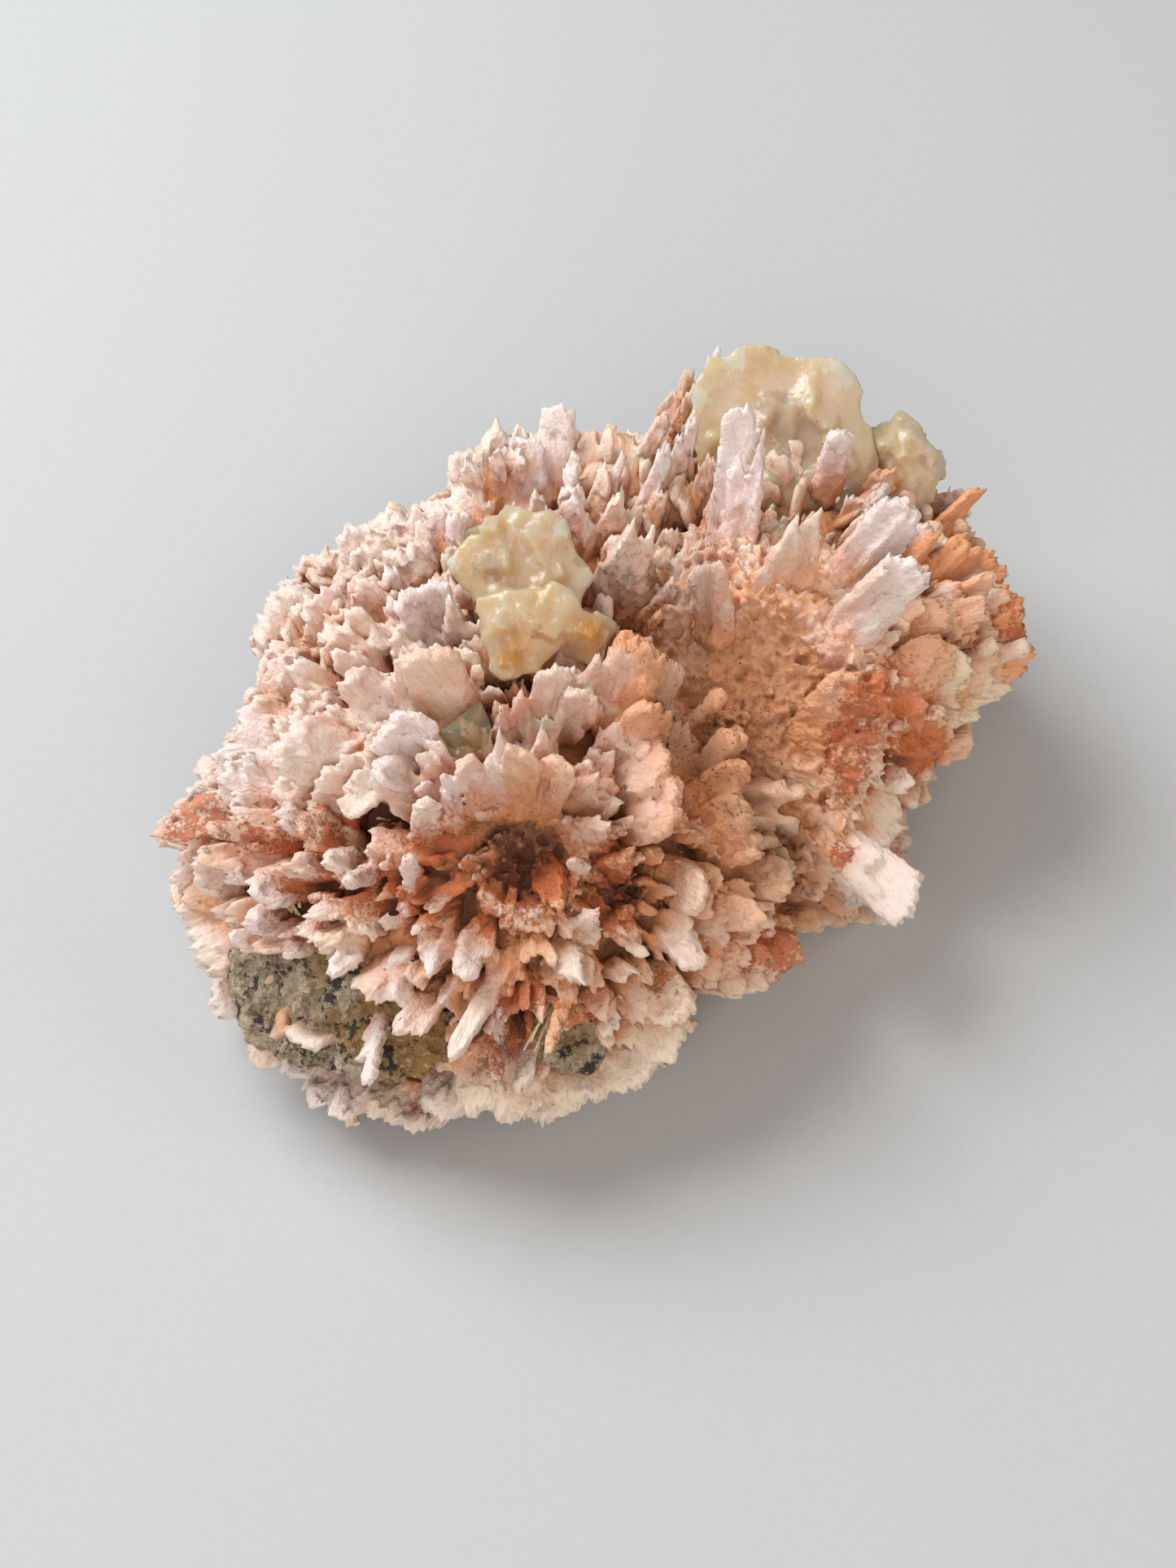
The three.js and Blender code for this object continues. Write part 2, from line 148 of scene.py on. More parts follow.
# How the small plates change over the specimen: across, up, reach, share that grow, width,
# length, thickness, disorder, lean to the viewer, plates side by side.
NEIGHBOURHOODS = [
    (-32, 20, 12, 1, 6, 7.5, 1.1, 0.35, 0.65, 2.4),
    (-18, 27, 9, 1, 4.6, 8, 1.1, 0.40, 0.55, 2.2),
    (-6, 37, 9, 1, 3.8, 9, 1.1, 0.40, 0.45, 2.2),
    (6, 36, 8, 1, 2.6, 10, 1, 0.45, 0.45, 2.2),
    (-20, 12, 8, 1, 4.6, 7, 1.1, 0.45, 0.80, 2.2),
    (4, 22, 7, 0.8, 4, 7, 1.2, 0.40, 0.70, 2),
    (0, 6, 7, 0.9, 5, 6.5, 1.3, 0.50, 0.90, 2),
    (17, 8, 13, 0.04, 2, 2.6, 0.8, 0.60, 1.50, 1),
    (24, 20, 7, 0.3, 3, 4.5, 1, 0.50, 1.00, 1.5),
    (27, 2, 8, 0.1, 3, 3.4, 1, 0.60, 1.20, 1.5),
    (33, 26, 7, 0.6, 3.5, 6.5, 1.2, 0.40, 0.60, 2),
    (47, 22, 9, 1, 5, 7, 1.1, 0.35, 0.40, 2.6),
    (42, 8, 7, 1, 4.5, 5.5, 1.3, 0.50, 0.50, 2.5),
    (35, -4, 6, 0.8, 4, 5, 1.1, 0.50, 0.60, 2),
    (19, -10, 8, 1, 4.4, 7, 1, 0.35, 0.60, 2.4),
    (20, -20, 6, 1, 4.5, 6.5, 1.2, 0.40, 0.60, 2.5),
    (-8, -8, 8, 1, 2.2, 5, 0.8, 1.10, 1.00, 2.2),
    (37.5, -12.5, 4.5, 0, 4, 5, 1.1, 0.50, 0.60, 2),
    (0, -16, 7, 1, 2.4, 5, 0.8, 1.20, 0.90, 2.2),
    (-20, -8, 9, 1, 3.4, 6, 0.8, 0.90, 0.90, 2),
    (-25, 5, 7, 1, 5, 6, 1.4, 0.60, 0.90, 2),
    (-42, 4, 9, 1, 5, 7, 1.1, 0.45, 0.45, 2.4),
    (-44, -12, 8, 1, 3.6, 8, 0.9, 0.50, 0.40, 2.4),
    (-30, -16, 7, 1, 3.4, 6, 0.9, 0.80, 0.80, 2),
    (-12, -22, 7, 1, 3, 6, 0.8, 0.90, 0.70, 1.8),
    (-5, -38, 9, 1, 6, 5.5, 1.2, 0.30, 0.35, 2),
    (-26, -40, 9, 1, 5, 5, 1.3, 0.40, 0.40, 2),
    (8, -31, 7, 1, 6, 5.5, 1.2, 0.30, 0.35, 2),
]

# Where the blades of each spray grow away from, across and up.
LEFT_SPRAY = (-8, -9)
RIGHT_SPRAY = (17, 8)

# The dividing line between the sprays, up and across.
DIVIDE_UP = (-30, -15, -3, 5, 12, 30, 55)
DIVIDE_ACROSS = (40, 31, 20, 13, 11, 12, 12)

# The outline that the viewer sees, across and up.
OUTLINE = [
    (-52.7, -4.2), (-49.5, -1), (-46.4, 0.4), (-45.1, 5.8), (-43.3, 9.1), (-39.4, 12), (-39.4, 14.6),
    (-41, 21.9), (-38, 25), (-34.5, 28), (-29.6, 29.1), (-29.2, 31.5), (-27, 33.4), (-24.2, 33.4),
    (-19.8, 34.4), (-17, 35), (-17, 37), (-14.6, 40.8), (-11.3, 44.6), (-7.7, 42.2), (-6, 45.6),
    (-3.9, 46.4), (-0.8, 44.7), (5, 43), (6, 43.2), (9.9, 46.4), (11, 48.2), (15.6, 53.3),
    (18.7, 54.3), (21.7, 54.3), (28.2, 52.6), (31.1, 52.4), (33, 50.7), (34, 47.2), (35.7, 43),
    (38, 43.5), (39, 44.7), (41.2, 43), (42.6, 40.3), (42.6, 34.6), (43.5, 35.7), (48.3, 37.5),
    (46.2, 33.8), (45.4, 31.9), (49.3, 29.2), (52.3, 25.8), (54.1, 20.8), (54.1, 18.1), (50.9, 12.4),
    (48.6, 10.5), (45.8, 8.7), (43.2, 6.1), (40.2, 2.6), (38.4, -3.6), (36.7, -6), (38.2, -8.5),
    (40.6, -14.2), (35.8, -16), (33, -16.4), (26, -12.8), (24.1, -16), (22, -17.5), (26, -19.1),
    (24, -22.2), (22, -24.9), (17.6, -24), (14.2, -25.3), (11.8, -27.9), (10.5, -32.4), (6.3, -37.5),
    (0.8, -38), (-1.8, -40.2), (-8.7, -41.4), (-15.7, -39.5), (-17.8, -41.4), (-21.5, -42.8),
    (-28, -40.4), (-30.2, -41.4), (-32.3, -40.2), (-32.4, -38.5), (-35, -35.4), (-38.9, -35.1),
    (-41.8, -33.1), (-44, -30.4), (-45.8, -27.1), (-48, -23.5), (-49.3, -17.7), (-51.1, -11.1),
    (-52.2, -8),
]

# The large blades: tip across, tip up, root across, root up, how far the tip stands nearer than
# the root, width, turn about the length in degrees, outline, and what it is coloured like.
LARGE_BLADES = [
    (18.8, 45.7, 16.9, 26.4, 6, 5.2, 10, "blunt", "lilac"),
    (21.2, 42.8, 19, 27.1, 8, 2.8, -35, "point", "lilac"),
    (31, 43.6, 28.9, 34.3, 6, 3.8, 15, "blunt", "lilac"),
    (28.5, 33.5, 22.8, 20.3, 8, 5.6, -10, "point", "pink"),
    (25.7, 32.5, 22, 22.6, 8, 3.6, 20, "point", "pink"),
    (38.9, 35.2, 30.4, 22.6, 7, 6.5, 15, "blunt", "lilac"),
    (40.4, 27.3, 29.3, 15.7, 9, 6.6, 5, "blunt", "lilac"),
    (36.6, 26.6, 29.7, 18.3, 10.5, 2.4, 30, "lath", "pink"),
    (14.8, 25.8, 16.1, 17.5, 8, 5.2, -5, "blunt", "pink"),
    (48, 36.4, 41.2, 28.7, 0, 3.2, 20, "lath", "orange"),
    (42.7, 30.6, 38.2, 25.4, 2, 2.4, 10, "lath", "orange"),
    (40, 43.4, 37.5, 35.1, -1, 5, 5, "petal", "peach"),
    (16, 52.8, 9.6, 37, 1, 2.6, 25, "lath", "white"),
    (12.5, 47.4, 5.4, 34, 2, 3.4, 10, "lath", "white"),
    (9.6, 45.1, 2.7, 34, 1, 3.4, 10, "lath", "pink"),
    (13.2, 44.6, 7.6, 29.5, 5, 3, 15, "lath", "white"),
    (9.8, 40.9, 4.6, 28.3, 4, 3, 15, "lath", "lilac"),
    (2.1, 39.6, 1, 31.5, 2, 2.8, 15, "point", "lilac"),
    (4.2, 36.7, 1.7, 27.9, 4, 3.4, 10, "point", "pink"),
    (-1.7, 35.6, -0.9, 27.9, 3, 3.5, -20, "point", "lilac"),
    (5.4, 31.7, 2.9, 18.5, 8, 7, 5, "point", "pink"),
    (8.2, 30.2, 5.6, 20.6, 7, 3.5, 30, "point", "pink"),
    (10.4, 24.5, 6.7, 17.7, 6, 4, 20, "point", "pink"),
    (9, 21.4, 6.3, 17.2, 5, 1.5, 10, "lath", "peach"),
    (7.5, 17.8, 2.1, 6.5, 8, 7.5, -10, "blunt", "peach"),
    (9.9, 15.3, 4.8, 6.2, 8, 6, 15, "blunt", "pink"),
    (8.6, 9.9, 4.4, 2.8, 7, 6, 20, "petal", "peach"),
    (1, 16.4, -1.3, 8, 8, 3, 35, "point", "pink"),
    (3.9, 15.8, 0.6, 7.6, 8, 3.5, -25, "point", "pink"),
    (11.2, 8.4, 11.4, -0.4, 5, 4, 25, "point", "pink"),
    (32.7, 13, 26.6, 5.7, 6, 5.5, 10, "petal", "peach"),
    (34.3, 11.8, 28.5, 3.4, 5, 5, 25, "petal", "peach"),
    (43.5, 17.6, 36.6, 9.9, 5, 6.5, 10, "petal", "ochre"),
    (46.9, 15.3, 40.9, 10.8, 3, 3.4, 0, "petal", "cream"),
    (50.3, 27.9, 43.2, 21.6, -1, 6.5, 15, "petal", "orange"),
    (53, 22.9, 44.8, 17.7, -1, 6.5, 20, "petal", "orange"),
    (54.2, 17.2, 45.5, 13.5, -1, 6.5, 10, "petal", "orange"),
    (51.6, 13.4, 44.5, 11, -3, 5, -10, "petal", "cream"),
    (47.8, 9.6, 41.5, 8.8, -5, 5, -15, "petal", "cream"),
    (46.5, 30.2, 40.2, 23.5, 0, 4.2, 20, "lath", "orange"),
    (49.6, 25.2, 41.9, 20.3, 2, 4.2, 25, "lath", "peach"),
    (43.4, 6.2, 36.8, 5.6, -4, 5, -20, "petal", "rusty"),
    (40.2, -15.2, 27.5, -6.6, 4, 8, -5, "blunt", "white"),
    (33, -16, 26.5, -10.5, -3, 3.2, 20, "lath", "peach"),
    (38, -1.5, 31.5, -3.8, -2, 7, 0, "petal", "cream"),
    (39, -5.2, 32, -6.5, -2, 4, 10, "point", "cream"),
    (25.3, -11.7, 16.2, -11.7, 5, 5.5, -10, "petal", "pink"),
    (21, -16, 12.3, -15.6, 6, 4, -15, "petal", "pink"),
    (21.4, -7.3, 14, -9, 6, 4, 10, "petal", "peach"),
    (20.1, -3, 13.6, -5.2, 7, 6, 0, "petal", "peach"),
    (19.3, 1.5, 11.4, -2.6, 7, 4.5, 30, "petal", "peach"),
    (21.2, -17.8, 14.8, -18.6, 4, 3, 15, "petal", "pink"),
    (26.4, -20.4, 16.5, -20.5, 1, 5, 10, "petal", "rusty"),
    (22, -24.4, 13.8, -22.5, 0, 4, 10, "petal", "pink"),
    (24, -22.5, 15.5, -21.4, 1, 5, -5, "petal", "rusty"),
    (13.2, -22.1, 9.2, -16.5, 6, 4, -25, "blunt", "white"),
    (14.9, -14.3, 9.5, -11.2, 7, 5.5, 15, "petal", "pink"),
    (11.4, -4.3, 5.2, -0.8, 8, 7.5, 10, "petal", "pink"),
    (9.2, 1.3, 3.5, 3.2, 8, 7, -10, "petal", "pink"),
    (5.4, -8.3, 1.8, -11.6, 7, 4, 15, "point", "rusty"),
    (4.1, -2.3, -0.9, -2.3, 8, 4, 20, "point", "pink"),
    (1.5, 1.5, -2.2, -2.8, 9, 4, 10, "point", "pink"),
    (2.8, -4.6, -1.4, -6.2, 8, 4, 30, "point", "pink"),
    (-15.2, 2.5, -12.1, -2.8, 9, 4, 25, "blunt", "pink"),
    (-10.8, 5.7, -10.2, -2.3, 10, 4.6, 5, "point", "pink"),
    (-8, 4.4, -8.7, -3.6, 11, 4.6, -15, "fan", "peach"),
    (-5.5, 6.8, -6.5, -2.3, 9, 3.8, 10, "point", "pink"),
    (-3.2, 2.9, -5.8, -3.6, 10, 4.6, -20, "fan", "peach"),
    (0.5, 2.8, -2.6, 0, 9, 1.6, 0, "lath", "white"),
    (-25.6, 7.3, -20.6, 3.4, 6, 6, 10, "fan", "white"),
    (-21.7, 8.6, -20.1, 2.4, 7, 5, -20, "fan", "lilac"),
    (-25.6, 0.8, -20.6, 1.8, 9, 4.4, 20, "petal", "white"),
    (-20.4, -2.3, -19.5, -7.5, 8, 3.6, 30, "petal", "pink"),
    (-16.7, 0.3, -16.9, -5.4, 8, 2.2, 50, "lath", "lilac"),
    (-3.9, -15.1, -5.2, -9.5, 7, 4, 15, "point", "rusty"),
    (-2.1, -9.6, 2.4, -12.2, 6, 2.4, 40, "lath", "white"),
    (-22.5, -9.2, -20.8, -14.4, 8, 2.8, 45, "blunt", "white"),
    (0.9, -15.9, -1.9, -19.5, 6, 4.4, 10, "point", "white"),
    (-4.1, 14.3, -5, 5.5, 9, 5, 10, "blunt", "pink"),
    (-1.3, 12.1, -3.3, 5.5, 9, 3.6, 20, "blunt", "pink"),
    (-10.6, 9.7, -10.8, 4.5, 8, 1.6, 0, "point", "pink"),
    (-8.2, 12.1, -8.9, 5.2, 8, 2.6, 20, "point", "pink"),
    (-3, 29.1, -2.5, 19.3, 8, 2.8, -10, "blunt", "white"),
    (-11.2, 44.4, -11.6, 33.5, -2, 8, 5, "point", "pink"),
    (-14.8, 40.4, -13.4, 31.6, -2, 6, 20, "blunt", "pink"),
    (-16.5, 35.7, -14.4, 29.9, -2, 4.2, -10, "blunt", "pink"),
    (-3.4, 46.4, -5.8, 33.5, -1, 5.4, 5, "blunt", "white"),
    (-7.5, 42.2, -7.9, 32.3, -1, 5.5, 10, "blunt", "lilac"),
    (3.4, 43.4, 1.5, 33, -4, 9, 0, "petal", "peach"),
    (-20.2, 34.4, -17.9, 28, -1, 6, 10, "petal", "pink"),
    (-16.1, 33, -15.1, 26.8, 1, 4, 30, "blunt", "lilac"),
    (-26, 33, -22.2, 26.6, 0, 6, 0, "petal", "pink"),
    (-6.5, 35.7, -6.7, 29, 4, 3.2, 10, "point", "pink"),
    (-9, 34, -9.3, 28, 4, 4, -15, "point", "pink"),
    (-29.5, 31.5, -24.4, 24, 1, 6, 10, "petal", "pink"),
    (-23, 29.2, -22.5, 23.7, 4, 4, 25, "petal", "pink"),
    (-20.3, 29.5, -20.3, 23.7, 4, 3.5, -20, "petal", "pink"),
    (-30.6, 26.9, -27, 21, 1, 4.2, 10, "petal", "pink"),
    (-34.5, 26.1, -30, 20.5, 0, 2.6, 30, "point", "pink"),
    (-35.2, 27, -29.4, 21.2, 1, 6, -10, "petal", "pink"),
    (-40, 21.6, -31, 16.4, 1, 9, 5, "petal", "pink"),
    (-39.5, 15.6, -32, 13.4, 0, 6, -20, "petal", "pink"),
    (-29.9, 21.9, -23.4, 18.7, 4, 5, 10, "petal", "pink"),
    (-24.7, 25.7, -22.3, 20.2, 5, 3.6, 30, "blunt", "lilac"),
    (-27, 17.8, -19.6, 18, 7, 4.2, 20, "petal", "pink"),
    (-30.6, 18.2, -24.8, 13.5, 4, 3.2, -20, "blunt", "pink"),
    (-30.9, 15.4, -24.8, 12.2, 4, 3.2, -10, "blunt", "pink"),
    (-22, 23, -18.2, 16.8, 8, 5, 10, "blunt", "lilac"),
    (-18.9, 25, -17, 17.5, 8, 4, -15, "blunt", "lilac"),
    (-16.8, 22.6, -16, 15.5, 9, 3, 30, "point", "pink"),
    (-24, 15.1, -20.5, 8, 7, 3.6, 10, "point", "pink"),
    (-22.3, 16.4, -19.5, 9, 8, 2.2, 40, "point", "pink"),
    (-19.6, 16.8, -16.8, 6.8, 8, 7.5, -5, "blunt", "peach"),
    (-33.7, 10.6, -26.8, 11.5, 3, 4.2, 15, "petal", "rusty"),
    (-29.9, 13.5, -23, 8.5, 5, 5, 0, "petal", "pink"),
    (-43, 7.8, -35.5, 6.4, 0, 5.5, 10, "petal", "white"),
    (-39.2, 13.3, -33.2, 9.8, 0, 4.6, -10, "petal", "white"),
    (-35.5, 6.6, -28, 5, 6, 5, 15, "petal", "pink"),
    (-38.7, 2.8, -27.7, 4.3, 6, 6.5, -5, "petal", "pink"),
    (-27.7, -3.9, -28.6, 3, 8, 5, 10, "petal", "pink"),
    (-45.8, 1.7, -38, 2.8, 0, 5.5, 0, "petal", "white"),
    (-50.3, -4.6, -37, -1.8, 1, 5, 10, "petal", "rusty"),
    (-52.6, -6, -40, -7.2, 1, 2.8, 20, "lath", "rusty"),
    (-46.3, -5.6, -35.1, -8, 5, 3, -15, "lath", "rusty"),
    (-48.2, -9, -36.5, -8.6, 3, 3.6, 10, "lath", "peach"),
    (-47.9, -11.5, -38.5, -10.3, 3, 5, -10, "petal", "pink"),
    (-49.5, -13.5, -41, -12.6, 0, 5.5, 20, "petal", "peach"),
    (-50, -16.4, -41, -15.5, 0, 5.5, -10, "petal", "pink"),
    (-49, -19.4, -40, -17, 0, 5, 10, "petal", "pink"),
    (-47.9, -21.6, -39.5, -18.2, 0, 6, 0, "petal", "pink"),
    (-40.8, -13.4, -35, -11.5, 6, 5, 20, "petal", "white"),
    (-42, -17.2, -36.4, -16, 5, 3.8, -10, "petal", "white"),
    (-35.5, -6.3, -29.3, -4.8, 7, 5, 10, "petal", "rusty"),
    (-32.2, -10.5, -27, -9.6, 7, 4, 30, "petal", "pink"),
    (-30.3, -11.9, -24.1, -10.5, 7, 3, -10, "lath", "white"),
    (-31.7, -24.2, -28.4, -18.3, 6, 4, 10, "point", "white"),
    (-19.4, -23.4, -19.2, -17.6, 6, 3, -10, "point", "lilac"),
    (-16.6, -34, -8.5, -19.5, 6, 3.2, 20, "lath", "pink"),
    (-5, -33.3, -1.5, -22.5, 6, 1.8, 10, "lath", "ochre"),
    (-0.2, -24.7, -4.2, -20, 6, 3.6, 10, "point", "white"),
    (-8.3, -37.8, -6.8, -30, 5, 3, 20, "lath", "pink"),
    (-11.5, -36.5, -11, -29.6, 5, 2.6, -10, "lath", "rusty"),
    (-22.6, -31, -18.5, -25.4, 6, 4, 20, "fan", "pink"),
    (-26.8, -36.8, -25.4, -26.5, 6, 2.6, 30, "lath", "white"),
    (-15, -24, -14.5, -18.5, 7, 3, -10, "fan", "white"),
    (-30.4, -41, -27, -33.4, 6, 4, 0, "blunt", "white"),
    (-26, -41, -24, -34, 5, 5, 15, "petal", "cream"),
    (-21.8, -42.6, -21, -34.4, 5, 6, 0, "petal", "pink"),
    (-17.2, -41.4, -17.4, -33.4, 5, 6, -10, "petal", "pink"),
    (-13.2, -40, -13.4, -32.6, 5, 6, 10, "petal", "cream"),
    (-8.6, -41.2, -9.2, -32.6, 5, 7, 0, "petal", "cream"),
    (-4, -40.8, -5, -32.6, 5, 7, 10, "petal", "cream"),
    (0.6, -38.8, -1, -31.4, 5, 7, -10, "petal", "cream"),
    (5.6, -37.4, 2.8, -29.4, 4, 7.5, 0, "petal", "cream"),
    (10.5, -33.8, 5.6, -26, 3, 6, 10, "petal", "cream"),
    (11.9, -29, 6.8, -23.5, 4, 6, -5, "petal", "cream"),
    (-33, -39.4, -29.5, -32, 4, 5, 10, "petal", "white"),
    (-36.6, -35.6, -32.5, -30.5, 3, 5, -10, "petal", "white"),
    (-41, -34.5, -35.5, -28.5, 2, 4.4, 10, "petal", "pink"),
    (-46.4, -27.2, -38.5, -23.5, 0, 5, 0, "petal", "white"),
]

# How each kind of blade starts out: rust, cream and dirt, and how lilac against peach it is.
FINISHES = {
    "pink": (0.02, 0.10, 0.05, 0.50),
    "lilac": (0.00, 0.45, 0.03, 0.90),
    "peach": (0.10, 0.10, 0.12, 0.15),
    "orange": (0.34, 0.00, 0.10, 0.00),
    "ochre": (0.25, 0.20, 0.30, 0.00),
    "rusty": (0.60, 0.05, 0.15, 0.20),
    "white": (0.00, 0.80, 0.03, 0.75),
    "cream": (0.02, 1.00, 0.03, 0.30),
}
CRUST_FINISH = (0.08, 0.12, 0.3, 0.3)

# How steeply a patch fades out over its radius.
PATCH_FALL = 1.4

# Patches of rust dust: across, up, radius, strength.
RUST_PATCHES = [
    (34.8, 11.4, 4.5, 1), (39.8, 9.4, 4.5, 1), (32.8, 6.4, 4.5, 0.9), (40.8, 4.4, 4, 1),
    (31.8, 0.4, 5, 0.8), (52, 20, 6, 0.9), (46, 18, 5, 0.5), (31.8, -8.6, 2.5, 0.9),
    (38.8, -8.6, 2.5, 0.8), (22, -19.5, 5.5, 1), (10.3, -26.1, 3.5, 1), (13.8, -21.6, 4, 0.7),
    (-8.2, -27.1, 4.5, 1), (-5.5, -12, 6.5, 0.6), (-12, -16, 5, 0.7), (3, -16, 5, 0.6),
    (-50, -5, 5, 0.5), (-39, -6.5, 7, 0.6), (-20, -12.5, 8, 0.7), (-31, 9, 5, 0.5),
    (-2, -31, 5, 0.6), (-21, -40, 2.5, 0.6), (-16, -38, 2.5, 0.4), (-37, -16, 6, 0.5),
    (-19, -5, 7, 0.45), (-30, -14, 6, 0.5), (5, -8, 6, 0.5), (-11, -35, 4, 0.6),
]

# Patches of tan dirt, with dark specks: across, up, radius, strength.
DIRT_PATCHES = [
    (17, 9, 14, 0.9), (13, 1, 6, 0.9), (4, 19.5, 5, 1), (-6, -8.5, 7.5, 1),
    (6, -14, 6, 0.8), (-40, -10, 4, 0.9), (-26, -7, 5, 0.7), (17, 27, 6, 0.5),
    (12.5, 33, 3, 0.6), (-9, 10, 3.5, 0.8), (2, 2, 5, 0.5), (26, 22, 5, 0.5),
    (-16, -20, 5, 0.6), (1, -27, 5, 0.8),
]

# Pale, cream-white stretches: across, up, radius, strength.
CREAM_PATCHES = [
    (-5, -39, 12, 1), (8, -33, 7, 1), (-26, -41, 9, 0.8), (36, -11, 7, 0.4),
    (36.5, -2, 4.5, 0.9), (48, 12, 5, 0.9), (-43, 5, 8, 0.6), (-50, -14, 5, 0.5),
    (-26, 4, 7, 0.6), (-12, -11, 4, 0.8), (11, -21, 4, 0.9), (-31, -20, 5, 0.9),
    (-46, -24, 5, 0.7), (-8, 44, 6, 0.4), (-19, 8, 4, 0.3),
]

# Where the crystal is warmer, and cooler, pink: across, up, radius, strength.
WARM_PATCHES = [
    (22, -12, 14, 0.9), (44, 12, 14, 0.9), (18, 6, 15, 0.9), (6, -12, 12, 0.5), (0, -22, 12, 0.4),
    (26, 24, 8, 0.4),
]
COOL_PATCHES = [(-34, 22, 20, 0.9), (-42, -2, 14, 0.8), (-12, 36, 14, 0.8), (-15, 5, 10, 0.5)]

# Where the crystal is smooth: across, up, radius, strength.
CALM_PATCHES = [
    (36, -11, 6.5, 1), (-17.3, 12.5, 5, 0.9), (38, 34, 4, 0.5), (27, 36, 8, 0.5), (35, 26, 7, 0.5),
    (16, -13, 7, 0.5), (10.5, -17.5, 4, 0.7),
]

# Blocks of the set pieces: the outline that the viewer sees, how far the front stands over the
# body, and how deep the block goes.
YELLOW_BLOCKS = {
    "yellow_crystals_top": [
        (
            [
                (12.6, 48.8), (14.8, 52.4), (18.6, 54.1), (21.8, 53.9), (25.5, 52.8), (28.2, 52.3),
                (31.2, 52), (33, 50.2), (34, 46.8), (35.2, 43), (35.8, 38), (34.2, 33.5), (31, 29.5),
                (26.5, 28.5), (22.5, 31), (18, 33.5), (14, 37), (12.2, 42),
            ],
            8,
            15,
        ),
    ],
    "yellow_crystals_middle": [
        (
            [
                (-17.6, 27), (-15, 30.2), (-11.5, 31.8), (-8.5, 33.6), (-5, 33.8), (-2.6, 32), (-1.6, 29.6),
                (0.4, 25.4), (-0.6, 21.6), (-4, 20.5), (-8, 20), (-12.5, 20.5), (-15, 23.5),
            ],
            12,
            17,
        ),
        (
            [
                (-12.8, 23), (-4, 24), (2.8, 18.4), (1.8, 16.4), (-3, 17.6), (-6.5, 16.8), (-8.8, 14),
                (-10.6, 13), (-12.4, 14),
            ],
            11,
            15,
        ),
    ],
    "yellow_crystals_side": [
        (
            [
                (34.8, 42.6), (37.5, 43.4), (41, 42.4), (42.6, 40), (42.4, 36.2), (40, 34.9), (36.2, 36.4),
                (34.9, 39),
            ],
            5,
            10,
        ),
    ],
}
BASALT_BLOCKS = {
    "basalt_matrix": [
        (
            [
                (-44.6, -20.4), (-40.5, -18.6), (-36, -19.4), (-31, -18.4), (-27.5, -21), (-26, -27),
                (-28, -34), (-33, -35.4), (-38, -33.4), (-42, -29.6), (-44.6, -25.6),
            ],
            3,
            9,
        ),
        (
            [(-38, -20.5), (-32, -18.5), (-27, -21), (-25, -25), (-27, -30), (-33, -30), (-37.5, -26)],
            1.6,
            7,
        ),
        (
            [
                (-30, -21.5), (-23, -20.6), (-17.2, -22.4), (-16.2, -27.4), (-17.6, -33.4), (-21, -36),
                (-27, -36.4), (-31, -34.5),
            ],
            1.2,
            8,
        ),
    ],
    "basalt_remnant": [
        (
            [
                (-6.6, -27.6), (-2.6, -27.2), (1.4, -28.4), (1.8, -32.6), (-1, -35.2), (-5.4, -34.4),
                (-6.9, -31),
            ],
            2.4,
            8,
        ),
    ],
}
BLOCK_VOXEL = 0.36
CHUNK_TILT = 0.66

# The glassy crystal: its outline, how far its front stands over the body, how deep it goes, and
# how far its middle rises to a ridge.
CLEAR_OUTLINE = [(-13.2, 10.4), (-19, 5.8), (-17.8, 3.8), (-15.8, 3), (-12.4, 4.6), (-11.8, 7)]
CLEAR_STAND = 5.0
CLEAR_DEPTH = 7.0
CLEAR_RIDGE = 1.8

# Frosted, amber and brown patches of the yellow crystals: across, up, radius, strength.
FROSTED_PATCHES = [
    (31.4, 50.6, 3.4, 1), (18, 52.4, 2.6, 0.9), (13.6, 47.5, 2.4, 0.8), (-3.2, 31.2, 1.8, 0.9),
    (-17.2, 27.4, 2.6, 1), (-10.4, 21.5, 2, 0.5), (41.4, 41.4, 1.8, 0.7),
]
AMBER_PATCHES = [
    (28, 31.5, 5.5, 1), (20, 35, 4, 0.5), (14.4, 38.5, 3.4, 0.8), (-9.6, 15.5, 3.8, 0.9),
    (0.5, 18.4, 3.6, 1), (37, 36.8, 2.6, 0.8),
]
BROWN_PATCHES = [
    (24, 45.2, 4.6, 1), (27, 41.6, 3, 0.8), (-11.8, 27.4, 3.6, 0.8), (-0.6, 27.4, 1.6, 0.9),
    (36, 39.5, 2.6, 1), (-6.6, 19, 1.8, 0.8),
]

# Ochre, and black, patches of the basalt: across, up, radius, strength.
OCHRE_PATCHES = [(-20, -29, 7, 1), (-28, -29.5, 5, 0.9), (-2.6, -31, 6, 0.8), (-33, -21, 3, 0.6)]
BLACK_PATCHES = [
    (-29.5, -24.5, 2.5, 0.6), (-22, -22.5, 3.5, 0.7), (-24, -32.5, 3, 0.8), (-34, -33.5, 3, 0.7),
    (-2, -33, 2.5, 0.7),
]

# Pockets between the blades that get the darkest painted shade: across, up, radius, strength.
POCKET_SHADE_PATCHES = [
    (-7.8, -9, 6, 1), (2, -11.5, 5, 1), (-1, -16.5, 5, 0.8), (-26, -7, 4.5, 0.8), (3.6, 19.5, 4.5, 1),
    (13, 33.5, 2.5, 0.8), (-9.5, 10.5, 3.5, 1), (-8.2, -27, 4, 1), (-39.5, -10, 4, 0.8),
    (9.5, -21, 3, 0.8), (-18, -14, 5, 0.7), (-33, -13, 4, 0.6),
]

# Where the grains lie: middle and reach across, middle and reach up, and the share in the heart.
HOLLOW_GRAINS = (20, 16, 11, 21)
HEART_GRAINS = (-4.5, 9, -11, 6.5)
HEART_SHARE = 0.16

